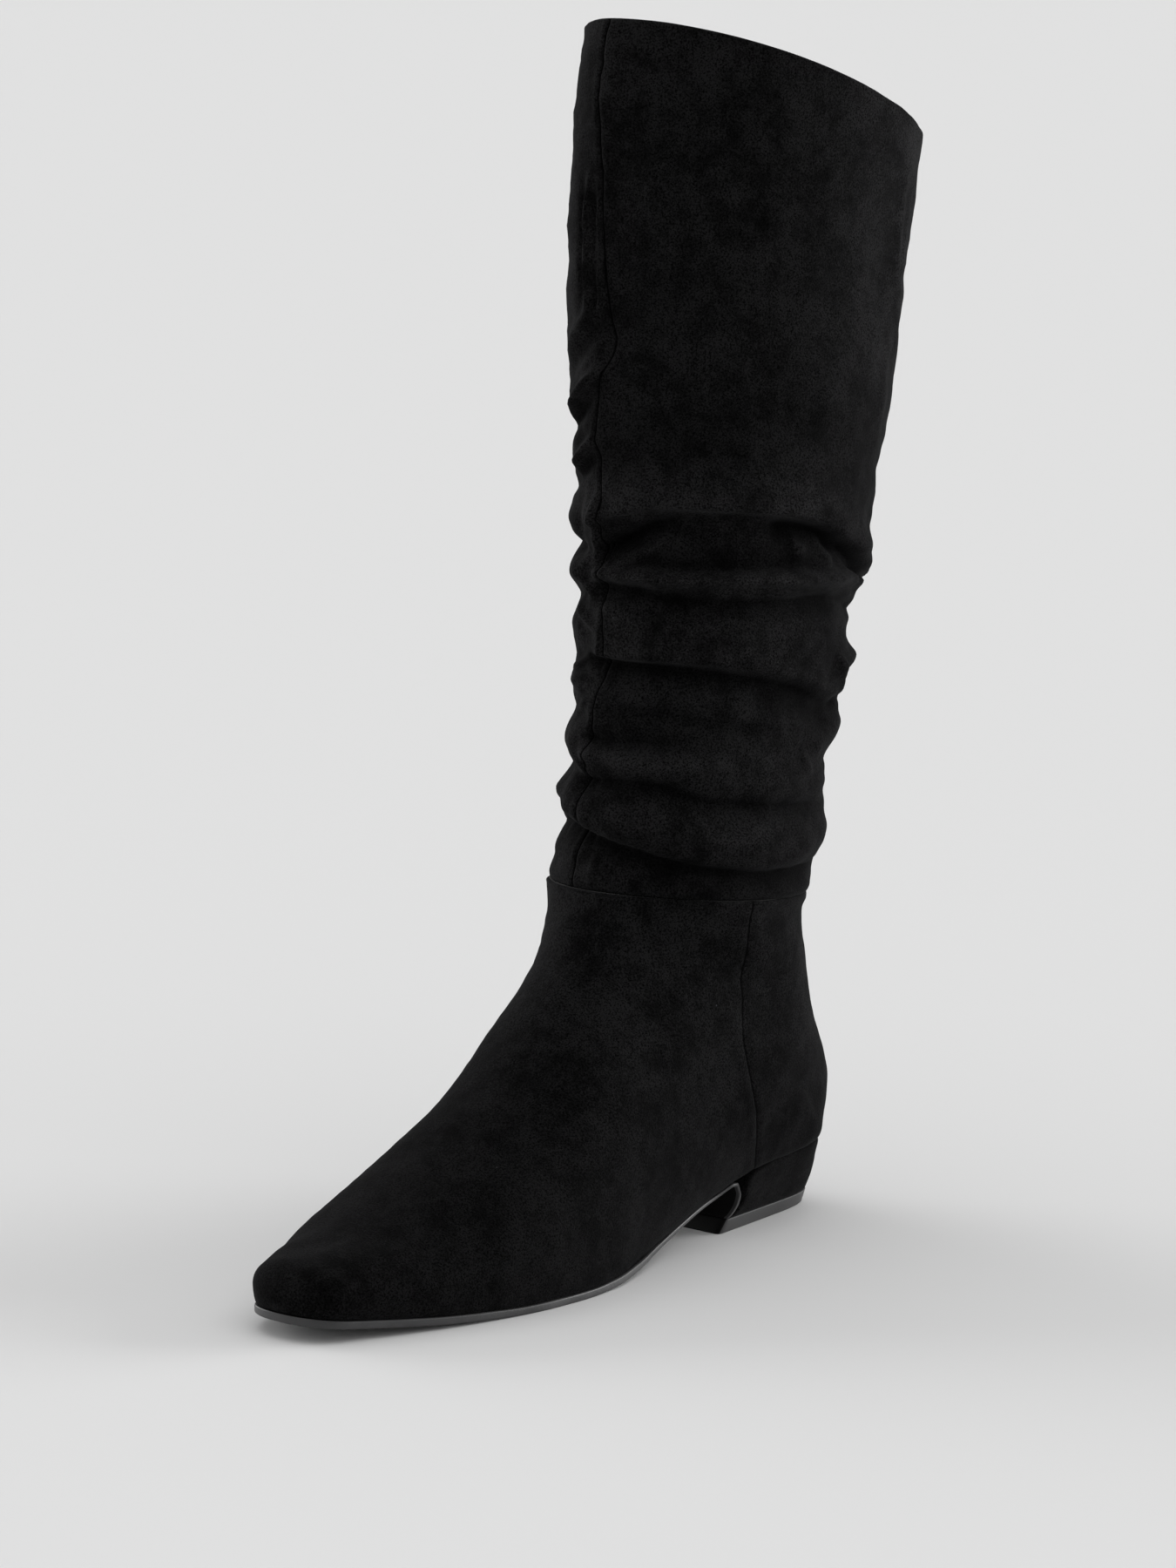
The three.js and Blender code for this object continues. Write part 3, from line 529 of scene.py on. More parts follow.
def piece(name, points, faces, materials, replaces, slots=None, fields=None):
    """One closed, smooth mesh in metres that rides on the boot and stands for its solid"""
    slots = np.zeros(len(faces), int) if slots is None else slots
    points, faces, fields, slots = weld(points, faces, fields or {}, slots)
    mesh = bpy.data.meshes.new(name)
    mesh.vertices.add(len(points))
    mesh.vertices.foreach_set("co", (points / 1000).astype(np.float32).ravel())
    mesh.loops.add(faces.size)
    mesh.loops.foreach_set("vertex_index", faces.astype(np.int32).ravel())
    mesh.polygons.add(len(faces))
    mesh.polygons.foreach_set("loop_start", np.arange(0, faces.size, 3, dtype=np.int32))
    mesh.polygons.foreach_set("loop_total", np.full(len(faces), 3, np.int32))
    mesh.polygons.foreach_set("use_smooth", np.ones(len(faces), bool))
    for material in materials:
        mesh.materials.append(material)
    mesh.polygons.foreach_set("material_index", slots.astype(np.int32))
    for field, values in fields.items():
        mesh.attributes.new(field, "FLOAT", "POINT").data.foreach_set("value", values.astype(np.float32))
    mesh.update()
    mesh.validate()
    made = stand(name, mesh)
    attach(made, "root")
    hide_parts(*replaces)


def hollow_piece(name, outside, inside, suede_faces, lining_faces, seam, tone, materials, replaces):
    """A piece with suede outside and lining inside; seam and tone, which holds painted shade and light, vary
    on the outside alone
    """
    points = np.concatenate([outside.reshape(-1, 3), inside.reshape(-1, 3)])
    faces = np.concatenate([suede_faces, lining_faces])
    slots = (np.arange(len(faces)) >= len(suede_faces)).astype(int)
    plain = np.ones(inside[..., 0].size)
    seam = np.clip(seam, -SEAM_REACH, SEAM_REACH).ravel()
    fields = {"seam": np.concatenate([seam, SEAM_REACH * plain]),
              "tone": np.concatenate([tone.ravel(), plain])}
    piece(name, points, faces, materials, replaces, slots, fields)


def normals(points):
    """Unit normals of a grid: the cross product of its central differences across and along"""
    normal = np.cross(np.gradient(points, axis=1), np.gradient(points, axis=0))
    return normal / np.maximum(np.linalg.norm(normal, axis=-1, keepdims=True), 1e-9)


# The foot part of the upper

def low_path(run):
    """Where a foot section starts: from the toe back along the sole, then up the back"""
    seat = feather(SOLE_LEDGE)
    rise = np.clip(run - 1, 0, 1)
    on_sole = lerp(SOLE_LENGTH - SOLE_LEDGE, SOLE_LEDGE, np.clip(run, 0, 1))
    up_back = SOLE_LEDGE + curve(BACK, "forward", rise)
    forward = np.where(run > 1, up_back, on_sole)
    height = np.where(run > 1, lerp(seat, ANKLE_BACK, rise), feather(on_sole))
    return forward, height


def rounded_low_path(run):
    """The same path with its corner at the seat averaged over a short reach"""
    near = 1 - np.minimum(np.abs(run - 1) / CORNER_REACH, 1)
    shares = (np.arange(CORNER_SAMPLES) + 0.5) / CORNER_SAMPLES - 0.5
    taken = [low_path(run + share * near * CORNER_REACH) for share in shares]
    return sum(t[0] for t in taken) / CORNER_SAMPLES, sum(t[1] for t in taken) / CORNER_SAMPLES


def heel_cup(forward, height, outer):
    """Half width of the heel's cup, the seat's outline carried up along the back, and its fade: a smooth step
    down with the height and another towards the arch"""
    seat = feather(SOLE_LEDGE)
    rise = (height - seat) / (ANKLE_BACK - seat)
    behind = forward - curve(BACK, "forward", rise)
    fade = (1 - smooth(rise, CUP_FROM, CUP_TO)) * (1 - smooth(behind, HEEL_ROUNDING, 2 * HEEL_ROUNDING))
    return half_width(behind, outer, SOLE_LEDGE) * fade, fade


def foot_surface(run, way):
    """The foot part as a fan of planes: run picks the plane; way goes from 0 at the sole's outer edge by 1
    at the ridge to 2 at the inner edge. The lower half of a section leaves the edge by a power of the sine,
    the upper half closes to the ridge by another, and both lie on the line from the low point to the ridge"""
    outer = way <= 1
    side = np.where(outer, 1, -1)
    turn = np.where(outer, way, 2 - way) * np.pi
    corner_forward, corner_height = low_path(run)
    round_forward, round_height = rounded_low_path(run)
    above = smooth(turn, 0, CORNER_TURN)
    low_forward = lerp(corner_forward, round_forward, above)
    low_height = lerp(corner_height, round_height, above)
    to_toe = (SOLE_LENGTH - 2 * SOLE_LEDGE) * run
    high_forward = curve(FOOT, "along", run) * SOLE_LENGTH
    ridge = curve(FOOT, "height", run) * ANKLE_FRONT - low_height
    high_height = low_height + ridge * blunt_end(to_toe, TOE_TOP_ROUNDING)
    base = np.where(run <= 1, half_width(corner_forward, outer, SOLE_LEDGE), 0)
    full = ball_width(FOOT, run, outer)
    wide = np.maximum(full * blunt_end(to_toe, TOE_ROUNDING), base)
    widest = curve(FOOT, "widest", run)
    low = turn < np.pi / 2
    sine = np.maximum(np.sin(turn), 0)
    up = np.where(low, widest * (1 - np.cos(turn)), widest - (1 - widest) * np.cos(turn))
    tuck = 1 + EDGE_TUCK * np.where(base > 0, base / np.maximum(wide, 1e-9), 0)
    out = np.where(low, base + (wide - base) * sine ** tuck, wide * sine ** curve(FOOT, "round", run))
    forward = lerp(low_forward, high_forward, up)
    height = lerp(low_height, high_height, up)
    cup, fade = heel_cup(forward, height, outer)
    out = (out + cup + np.hypot(out - cup, CUP_BLEND * sine * fade)) / 2
    return place(middle(forward) + side * out, forward, height)


def side_seam_gap(points):
    """Level distance of points from the seam between vamp and counter"""
    forward = ORIGIN_FORWARD - points[..., 1]
    return forward - curve(SIDE_SEAM, "forward", points[..., 2])


def softened(points, share, closes, rounds):
    """Every point drawn by a share towards the mean of its four neighbours, some rounds over; the rows that
    close at the heel's back go round to their other end"""
    first, last = np.s_[:, :1], np.s_[:, -1:]
    for _ in range(rounds):
        before = np.concatenate([np.where(closes, points[:, -2:-1], points[first]), points[:, :-1]], 1)
        after = np.concatenate([points[:, 1:], np.where(closes, points[:, 1:2], points[last])], 1)
        below = np.concatenate([points[:1], points[:-1]])
        above = np.concatenate([points[1:], points[-1:]])
        points = points + share * ((before + after + below + above) / 4 - points)
    return points


def shut(points, closes):
    """Brings both ends of the rows that close behind the heel together on the middle plane"""
    back = (points[closes, 0] + points[closes, -1]) / 2
    back[:, 0] = 0
    points[closes, 0] = points[closes, -1] = back


def foot_piece(suede, lining):
    """Rows by the run and columns by the way, closer together at the edges. The skin is eased round the heel,
    pushed out by its relief and backed by the lining, and it closes behind the heel above the sole"""
    sole = SOLE_LENGTH - 2 * SOLE_LEDGE
    on_sole = spaced(sole, lambda d: 1.45 - 1.0 * np.exp(-d / 9) - 0.5 * np.exp(-(sole - d) / 9)) / sole
    climb = ANKLE_BACK - SEAT_HEIGHT
    up_back = spaced(climb, lambda d: 1.35 - 1.0 * np.exp(-(climb - d) / 2.5)) / climb + 1
    run = np.concatenate([on_sole, up_back[1:]])[:, None]
    across = spaced(FOOT_GIRTH, lambda d: 1.45 - 0.9 * np.exp(-np.minimum(d, FOOT_GIRTH - d) / 3.5))
    way = across / FOOT_GIRTH * 2
    points = foot_surface(run, way[None, :])
    off_edge = np.minimum(way, 2 - way)[None, :] / 2 * FOOT_GIRTH
    heel = smooth(run, 0.86, 0.96) * (1 - smooth(run, 1.45, 1.65)) * (1 - smooth(off_edge, 46, 66))
    inland = smooth(off_edge, 1, 6)
    heel = heel * np.where(run > 1, np.maximum(inland, smooth(run, 1.02, 1.12)), inland)
    points = softened(points, SOFTEN_SHARE * heel[..., None], (run >= 1)[..., None], SOFTEN_ROUNDS)
    normal = normals(points)
    if (normal[len(on_sole) // 2, len(way) // 8] * [1, 0, 0]).sum() < 0:
        normal = -normal

    # wide, middle and fine unevenness, the groove of each seam and the puckered swell beside it
    seam = side_seam_gap(points)
    puckers = 0.5 + 0.5 * waves(points * [1, 1, 1.6], 9, 31)
    relief = 0.35 * waves(points, 42, 11) + 0.16 * waves(points, 17, 12) + 0.05 * waves(points, 6, 13)
    relief -= 0.25 * np.exp(-(seam / 0.9) ** 2)
    relief += 0.14 * np.exp(-((np.abs(seam) - 3.0) / 1.8) ** 2) * (0.4 + puckers)
    from_ankle = (2 - run) * climb
    relief -= 0.5 * np.exp(-from_ankle / 0.6) * smooth(run, 1.2, 1.8)
    relief += 0.25 * np.exp(-((from_ankle - 3.0) / 2.0) ** 2) * (0.4 + puckers) * smooth(run, 1.2, 1.8)
    fixed = smooth(off_edge, 0, 4) * smooth(run * sole, 0, 12)
    fixed = np.where(run > 1, np.maximum(fixed, smooth(run, 1.0, 1.08)), fixed)
    outside = points + normal * (relief * fixed)[..., None]
    closes = run[:, 0] >= 1
    shut(outside, closes)

    level = normal.copy()
    level[-1, :, 2] = 0
    level[~closes, 0, 2] = 0
    level[~closes, -1, 2] = 0
    level /= np.maximum(np.linalg.norm(level, axis=-1, keepdims=True), 1e-9)
    inside = (outside - level * UPPER_WALL)[:, ::2]
    inside[0] = outside[0, 0] + [0, UPPER_WALL, 0]
    shut(inside, closes)

    rows, columns = outside.shape[:2]
    inner_columns = inside.shape[1]
    first = rows * columns
    outer_at = counted(0, rows, columns)
    inner_at = counted(first, rows, inner_columns)
    open_rows = int((~closes).sum()) + 1
    lining_faces = np.concatenate([
        grid_faces(first, rows, inner_columns)[:, ::-1],
        strip_faces(outer_at[-1], inner_at[-1]),
        strip_faces(outer_at[:open_rows, 0], inner_at[:open_rows, 0]),
        strip_faces(outer_at[:open_rows, -1], inner_at[:open_rows, -1])[:, ::-1],
    ])
    ankle_seam = from_ankle * ANKLE_SEAM_SCALE
    seam = np.where(np.abs(seam) < ankle_seam, seam, ankle_seam)
    # painted shade: the foot's suede darker towards the sole and a little lighter towards the ankle
    tone = lerp(FOOT_PAINTED_SHADE_LOW, FOOT_PAINTED_SHADE_HIGH, smooth(points[..., 2], 25, 95))
    hollow_piece("foot_suede", outside, inside, grid_faces(0, rows, columns), lining_faces, seam, tone,
                 [suede, lining], ["upper"])


# The shaft

def fold_relief(height, angle):
    """How far the folds stand out, how far their lips hang, and the painted shade in their hollows and
    painted highlight on their lips. Each fold is a curve of height over angle, and falls away above and below
    it by the exponential of a power of the distance over its half height, rounded at its peak. A short fold
    falls away from its bent line by a bell curve"""
    out = np.zeros(np.broadcast(height, angle).shape)
    droop = np.zeros_like(out)
    dark = np.zeros_like(out)
    for fold in FOLDS:
        path = fold["path"]
        start, end = path["angle"][0], path["angle"][-1]
        spare = (360 - (end - start)) / 2
        wrapped = np.mod(angle - start + spare, 360) + start - spare
        off = height - curve(path, "height", wrapped)
        fade = smooth(wrapped, start - FOLD_START, start + FOLD_FULL)
        fade = fade * smooth(-wrapped, -end - FOLD_START, -end + FOLD_FULL)
        fade = fade * curve(path, "share", wrapped)
        width = np.where(off > 0, fold["above"], fold["below"])
        shape = np.exp(-(np.sqrt((off / width) ** 2 + 0.01) ** fold["sharp"]) + 0.1 ** fold["sharp"]) * fade
        out += fold["out"] * shape
        droop += fold["droop"] * shape
        # painted shade where dark is positive, painted highlight where it is negative
        dark += fold["dark"] * shape
    for a0, h0, a1, h1, stands, half in zip(*DARTS.values()):
        mid = (a0 + a1) / 2
        wrapped = np.mod(angle - mid + 180, 360) + mid - 180
        x, y = (wrapped - a0) * DEGREE_WIDTH, height - h0
        lx, ly = (a1 - a0) * DEGREE_WIDTH, h1 - h0
        long = math.hypot(lx, ly)
        along = (x * lx + y * ly) / long
        across = (x * ly - y * lx) / long
        bend = 0.12 * long * np.sin(np.pi * np.clip(along / long, 0, 1)) * np.sign(stands)
        fade = smooth(along, -0.1 * long, 0.35 * long) * smooth(long - along, -0.1 * long, 0.35 * long)
        shape = fade * np.exp(-((across - 0.35 * bend) / half) ** 2)
        out += stands * shape
        # painted highlight along a standing dart and painted shade along a sunken one
        dark -= 0.3 * stands * shape
    return out, droop, dark


def shaft_surface(share, angle, relief, lift=0.0):
    """A slanted ring for each share of the height: half an ellipse ahead of its widest place and half behind,
    for the outer and the inner side, pushed out from its middle by a relief in millimetres"""
    cosine, sine = np.cos(np.radians(angle)), np.sin(np.radians(angle))
    widest = curve(SHAFT, "widest", share)
    ahead = np.where(cosine < 0, widest * (1 + cosine), widest + (1 - widest) * cosine)
    top = lerp(ANKLE_FRONT + GAP, COLLAR_FRONT, share)
    bottom = lerp(ANKLE_BACK + GAP, COLLAR_BACK, share)
    height = top - (top - bottom) * (1 - ahead) ** lerp(1, COLLAR_DIP, share)
    back, front = curve(SHAFT, "back", share), curve(SHAFT, "front", share)
    half = ball_width(SHAFT, share, sine > 0)
    radius = 1 + relief / half
    centre = back + (front - back) * widest
    forward = centre + (back + (front - back) * ahead - centre) * radius
    return place(half * sine * radius, forward, height + lift)


def shaft_piece(suede, lining):
    """Rows by the share of the height and columns by the angle, closer together at the seams. The skin is
    pushed out by its folds and relief, rolls over at the collar, and is backed by a band of suede that faces
    the collar and by the lining"""
    roll = SHAFT_WALL / 2
    tall = COLLAR_FRONT - ANKLE_FRONT - GAP - roll

    def row_gap(d):
        """Distance between rows: fine through the folds, wider above them and finest at both ends"""
        gap = lerp(0.92, 2.3, smooth(d, 130, 190))
        return gap - 0.62 * np.exp(-d / 2) - 1.5 * np.exp(-(tall - d) / 3)

    share = (spaced(tall, row_gap) / (COLLAR_FRONT - ANKLE_FRONT - GAP))[:, None]
    across = spaced(HALF_GIRTH, lambda d: 1.34 - 0.95 * np.exp(-(np.minimum(d, HALF_GIRTH - d) / 4.5) ** 2))
    level = lerp(ANKLE_FRONT + GAP, COLLAR_FRONT, share)
    level_back = lerp(ANKLE_BACK + GAP, COLLAR_BACK, share)
    front = curve(FRONT_SEAM, "angle", level)
    behind = curve(BACK_SEAM, "angle", level_back)
    way = across[None, :] / HALF_GIRTH
    outer_half = lerp(front, behind, way)
    inner_half = lerp(behind, front + 360, way)
    angle = np.concatenate([outer_half, inner_half[:, 1:]], 1)
    off_seam = np.minimum(across, HALF_GIRTH - across)
    off_seam = np.concatenate([off_seam, off_seam[1:]])[None, :] * np.ones_like(share)

    # the folds, wide to fine unevenness, the groove of each seam and the puckered swell beside it
    plain = shaft_surface(share, angle, 0)
    height = plain[..., 2]
    from_ankle = share * (COLLAR_FRONT - ANKLE_FRONT)
    from_collar = (share[-1] - share) * (COLLAR_FRONT - ANKLE_FRONT)
    folds, droop, dark = fold_relief(height, angle)
    hold = smooth(from_ankle, 0.8, 7)
    slack = smooth(-height, -285, -225)
    relief = folds * hold
    relief += 0.55 * waves(plain * [1, 1, 0.7], 58, 1) * smooth(from_ankle, 0, 25)
    relief += 0.22 * waves(plain * [1, 1, 1.3], 21, 2) * hold
    relief += (0.10 + 0.16 * slack) * waves(plain * [0.8, 0.8, 1.7], 11, 3) * hold
    relief += 0.05 * waves(plain, 4.5, 4) * hold
    puckers = 0.5 + 0.5 * waves(plain * [0.3, 0.3, 1], 8, 5)
    relief -= 0.30 * np.exp(-(off_seam / 0.5) ** 2) + 0.10 * np.exp(-(off_seam / 1.6) ** 2)
    relief += 0.14 * np.exp(-((off_seam - 2.4) / 1.5) ** 2) * (0.3 + puckers)
    relief -= 0.5 * np.exp(-from_ankle / 0.6)
    relief += 0.3 * np.exp(-((from_ankle - 2.6) / 1.6) ** 2) * (0.4 + 0.6 * puckers)
    lift = -droop * hold
    outside = shaft_surface(share, angle, relief, lift)

    # the turned edge of the collar, half round from the outside to the inside
    tops = [shaft_surface(share[-1:], angle[-1:], relief[-1:] - roll * (1 - math.cos(a)),
                          lift[-1:] + roll * math.sin(a)) for a in np.linspace(0, np.pi, 8)[1:]]
    outside = np.concatenate([outside, *tops])
    facing = 0.35 * smooth(-from_collar, -FACING_DEPTH - 0.5, -FACING_DEPTH + 0.5) * smooth(from_collar, 0, 1)
    inner = shaft_surface(share, angle, relief - SHAFT_WALL - 0.35 * hold - facing, lift)[:, ::2]
    inner[-1] = outside[-1, ::2]
    rows, columns = outside.shape[:2]
    inner_rows, inner_columns = inner.shape[:2]
    first = rows * columns
    outer_at = counted(0, rows, columns)
    inner_at = counted(first, inner_rows, inner_columns)
    split = int(np.searchsorted(-from_collar[:, 0], -FACING_DEPTH))
    suede_faces = np.concatenate([
        grid_faces(0, rows, columns),
        strip_faces(outer_at[-1], inner_at[-1]),
        grid_faces(first + split * inner_columns, inner_rows - split, inner_columns)[:, ::-1],
    ])
    lining_faces = np.concatenate([
        grid_faces(first, split + 1, inner_columns)[:, ::-1],
        strip_faces(inner_at[0], outer_at[0]),
    ])
    seam = np.minimum(off_seam, from_ankle * ANKLE_SEAM_SCALE)

    # painted shade black in the folds and painted highlight on their lips, and over the slack painted light
    # in front, painted shade on the outer side and a painted sheen higher up that side
    tone = np.exp(-1.5 * np.maximum(dark, 0)) + 0.9 * np.maximum(-dark, 0)
    side = smooth((angle + 60) % 360, 130, 165) * (1 - smooth((angle + 60) % 360, 200, 260))
    tone = tone * (1 + (0.20 - 0.34 * side) * smooth(height, 120, 135) * (1 - smooth(height, 245, 270)))
    tone = tone * (1 + 0.5 * side * smooth(height, 265, 320))
    seam, tone = (np.concatenate([field, np.repeat(field[-1:], len(tops), 0)]) for field in (seam, tone))
    hollow_piece("shaft_suede", outside, inner, suede_faces, lining_faces, seam, tone, [suede, lining],
                 ["shaft"])


# The heel

def heel_loop(height, front, draw, steps=200):
    """One turn round the heel at a height as a ray-cast superellipse: nearly square in front, rounder behind,
    and narrowing evenly towards the back; its sizes run from the lift's to the seat's"""
    rise = height / SEAT_HEIGHT
    seat_wide = half_width(np.array(SOLE_LENGTH * BLOCK_WIDEST_ALONG), True, SOLE_LEDGE)
    back = lerp(LIFT_BACK, -SEAT_OVERHANG, rise) + draw
    half = lerp(LIFT_HALF_WIDTH, seat_wide, rise) - draw
    power_behind = lerp(HEEL_BACK_POWER, SEAT_BACK_POWER, rise)
    share_behind = lerp(HEEL_BACK_SHARE, 1, rise)
    turn = (np.arange(steps + 1) % steps) / steps * 2 * np.pi
    facing, side = np.cos(turn), np.sin(turn)
    centre = front - half
    power = np.where(facing > 0, HEEL_FRONT_POWER, power_behind)
    reach = np.where(facing > 0, half, centre - back)
    radius = (np.abs(side / half) ** power + np.abs(facing / reach) ** power) ** (-1 / power)
    forward = centre + facing * radius
    return side * radius * lerp(share_behind, 1, (forward - back) / (front - back)), forward


def stack_piece(name, rings, materials, replaces, second=None):
    """A closed stack of rings with a fan at each end; columns marked as second take the second material"""
    steps = rings.shape[1]
    ends = np.stack([rings[0, :-1].mean(0), rings[-1, :-1].mean(0)])
    points = np.concatenate([rings.reshape(-1, 3), ends])
    count = len(rings) * steps
    faces = np.concatenate([
        grid_faces(0, len(rings), steps),
        fan_faces(np.arange(steps), count)[:, ::-1],
        fan_faces(np.arange(count - steps, count), count + 1),
    ])
    second = np.zeros(steps - 1, bool) if second is None else second
    slots = np.concatenate([np.tile(second, 2 * (len(rings) - 1)), second, second]).astype(int)
    fields = {"seam": np.full(len(points), SEAM_REACH), "tone": np.full(len(points), HEEL_TONE)}
    piece(name, points, faces, materials, replaces, slots, fields)


def heel_piece(suede):
    """The covered block: its plan tapers from seat to lift, and its edges turn in by an exponential"""
    top_front = ARCH - BLOCK_TOP_FRONT
    bottom = LIFT_HEIGHT + GAP
    tall = SEAT_HEIGHT - bottom
    rises = spaced(tall, lambda d: 0.8 - 0.62 * np.exp(-np.minimum(d, tall - d) / 1.2)) / tall
    rings = []
    for rise in rises:
        front_height = lerp(bottom, feather(top_front) - GAP, rise)
        front = curve(BREAST, "front", front_height) - sole_thickness(top_front) - 1.5 * GAP
        turned = 0.5 * math.exp(-rise * tall / 0.35) + 0.8 * math.exp(-(1 - rise) * tall / 0.5)
        sideways, forward = heel_loop(lerp(bottom, SEAT_HEIGHT, rise), front - turned, BLOCK_SETBACK + turned)
        top = feather(np.maximum(forward, 0)) - 1.5 * GAP
        rings.append(place(sideways, forward, lerp(bottom, top, rise)))
    rings = np.array(rings)
    out = rings - rings.mean(1, keepdims=True)
    out[..., 2] = 0
    out /= np.linalg.norm(out, axis=-1, keepdims=True)
    relief = 0.12 * waves(rings, 14, 21) + 0.05 * waves(rings, 5, 22)
    rings += out * relief[..., None]
    rings[:, -1] = rings[:, 0]
    stack_piece("heel_cover", rings, [suede], ["heel_block"])


def quarter_round(size):
    """Distances of a quarter round's points from its two sides, one by the sine and one by the cosine"""
    return [(size * (1 - math.sin(a)), size * (1 - math.cos(a))) for a in np.linspace(0, np.pi / 2, 6)]


def lift_piece(rubber, shade):
    """A quarter round at its foot, then straight sides and a small turned edge at its top; its front, the
    breast, takes the near black rubber of painted shade"""
    levels = [(4.0, 0.0), (1.2, 0.0)] + quarter_round(LIFT_BEVEL) + [(0.0, h) for h in (1.2, 2.4, 3.6, 4.75)]
    levels += [(0.07, 4.93), (0.25, LIFT_HEIGHT), (1.5, LIFT_HEIGHT)]
    rings = []
    for draw, height in levels:
        front = LIFT_FRONT - draw - height * LIFT_RAKE
        sideways, forward = heel_loop(height, front, draw)
        rings.append(place(sideways, forward, np.full_like(forward, height)))
    columns = np.arange(rings[0].shape[0] - 1)
    # the front columns, the breast, take the painted shade
    ahead = np.minimum(columns, columns[-1] - columns) < len(columns) // 8
    stack_piece("top_lift_rubber", np.array(rings), [rubber, shade], ["top_lift"], ahead)


# The sole and what lies over it

def sole_piece(rubber, shade):
    """A thin sheet with rounded edges, carried from the toe to the arch and then down the heel's breast; its
    faces take painted shade, darker than its edges"""
    ahead = SOLE_LENGTH - spaced(SOLE_LENGTH - ARCH, lambda d: 1.3 - 1.05 * np.exp(-d / 5))
    flap = float(sole_thickness(ARCH))
    steps = np.arange(len(BREAST["height"]) + 2, dtype=float)
    turned = dict(
        step=steps,
        forward=np.concatenate([[ARCH, ARCH - FLAP_BEND], BREAST["front"][::-1]]),
        height=np.concatenate([[ARCH_HEIGHT, ARCH_HEIGHT - FLAP_DROP], BREAST["height"][::-1]]),
        back=np.concatenate([[0, flap / 2], np.full(len(steps) - 2, flap)]),
        up=np.concatenate([[flap, flap], np.zeros(len(steps) - 2)]),
    )
    at = np.linspace(0, steps[-1], 61)[1:]
    forward = np.concatenate([ahead, curve(turned, "forward", at)])[:, None]
    height = np.concatenate([underside(ahead), curve(turned, "height", at)])[:, None]
    back = np.concatenate([np.zeros_like(ahead), curve(turned, "back", at)])[:, None]
    up = np.concatenate([sole_thickness(ahead), curve(turned, "up", at)])[:, None]
    thick = np.maximum(up, back)
    lower = [(12.0, 0.0), (4.0, 0.0), (1.4, 0.0)] + quarter_round(SOLE_BEVEL)
    draw, rise = np.array(lower + lower[::-1]).T
    is_upper = np.arange(len(rise)) >= len(lower)
    share = np.where(is_upper, 1 - rise / thick, rise / thick)
    drop = (ARCH_HEIGHT - height) / ARCH_HEIGHT * FLAP_NARROWING * (back > 0)

    def side_points(outer):
        """One side's points: the edge's half width less what the bevel draws it in"""
        wide = half_width(np.maximum(forward, ARCH), outer, 0) - drop
        out = np.maximum(wide - draw, 0) * (1 if outer else -1)
        return place(middle(forward) + out, forward - back * share, height + up * share)

    loop = np.concatenate([side_points(True), side_points(False)[:, ::-1]], 1)
    loop = np.concatenate([loop, loop[:, :1]], 1)
    rows, columns = loop.shape[:2]
    points = np.concatenate([loop.reshape(-1, 3), loop[-1, :-1].mean(0)[None]])
    last = np.arange((rows - 1) * columns, rows * columns)
    faces = np.concatenate([grid_faces(0, rows, columns), fan_faces(last, rows * columns)])
    cell = np.arange(columns - 1) % len(rise)
    # the flat faces, under and over the sheet, take the painted shade
    face = (cell < 2) | (cell >= len(rise) - 3)
    slots = np.concatenate([np.tile(face, 2 * (rows - 1)), face]).astype(int)
    piece("sole_sheet", points, faces, [rubber, shade], ["outsole"], slots)


def sock_piece(cloth):
    """The insole's cover: a board whose top crowns by a parabola and rounds off at its edge"""
    draw = SOLE_LEDGE + UPPER_WALL + 3 * GAP
    long = SOLE_LENGTH - 2 * draw
    from_toe = spaced(long, lambda d: 1.8 - 1.5 * np.exp(-np.minimum(d, long - d) / 5))
    forward = (SOLE_LENGTH - draw - from_toe)[:, None]
    across = np.linspace(-1, 1, 41)
    across = np.sign(across) * (1 - (1 - np.abs(across)) ** 1.5)
    wide = np.where(across > 0, half_width(forward, True, draw), half_width(forward, False, draw))
    sideways = middle(forward) + wide * across
    bottom = feather(forward) * np.ones_like(sideways)
    edge = 1 - np.abs(across) ** 10
    ends = smooth(np.minimum(forward - draw, SOLE_LENGTH - draw - forward), 0, 1.5)
    top = bottom + (INSOLE_THICKNESS - 0.7) + 0.7 * edge * ends + 0.5 * (1 - across ** 2) * ends
    upper = place(sideways, forward, top)
    under = place(sideways, forward, bottom)
    loop = np.concatenate([upper, under[:, ::-1], upper[:, :1]], 1)
    rows, columns = loop.shape[:2]
    there = np.arange(len(across))
    back = 2 * len(across) - 1 - there
    last = (rows - 1) * columns
    faces = np.concatenate([
        grid_faces(0, rows, columns),
        strip_faces(there, back)[:, ::-1],
        strip_faces(last + there, last + back),
    ])
    piece("sock_lining", loop.reshape(-1, 3), faces, [cloth], ["insole"])


# Finishes

NAP_DARK = (0.0006, 0.0006, 0.0006, 1)
NAP_LIGHT = (0.0118, 0.0116, 0.0120, 1)
LINT_GREY = (0.06, 0.06, 0.064, 1)
LINING_DARK = (0.008, 0.0078, 0.0078, 1)
LINING_LIGHT = (0.016, 0.0155, 0.015, 1)
RUBBER_LIGHT = (0.034, 0.034, 0.035, 1)
STROKE_TURN = math.radians(-45)
STROKE_STRETCH = (1, 4, 1)


def take(socket, value):
    """Links an input to an output, or gives it a value"""
    if isinstance(value, bpy.types.NodeSocket):
        socket.id_data.links.new(value, socket)
    else:
        socket.default_value = value


def put(node, **values):
    """Links or sets inputs of a node; their names have _ for a blank"""
    for name, value in values.items():
        take(node.inputs[name.replace("_", " ")], value)


def add(tree, kind, **values):
    """A node with its settings and its inputs; names that end in _ are inputs"""
    made = tree.nodes.new(kind)
    for name, value in values.items():
        if name.endswith("_"):
            put(made, **{name[:-1]: value})
        else:
            setattr(made, name, value)
    return made


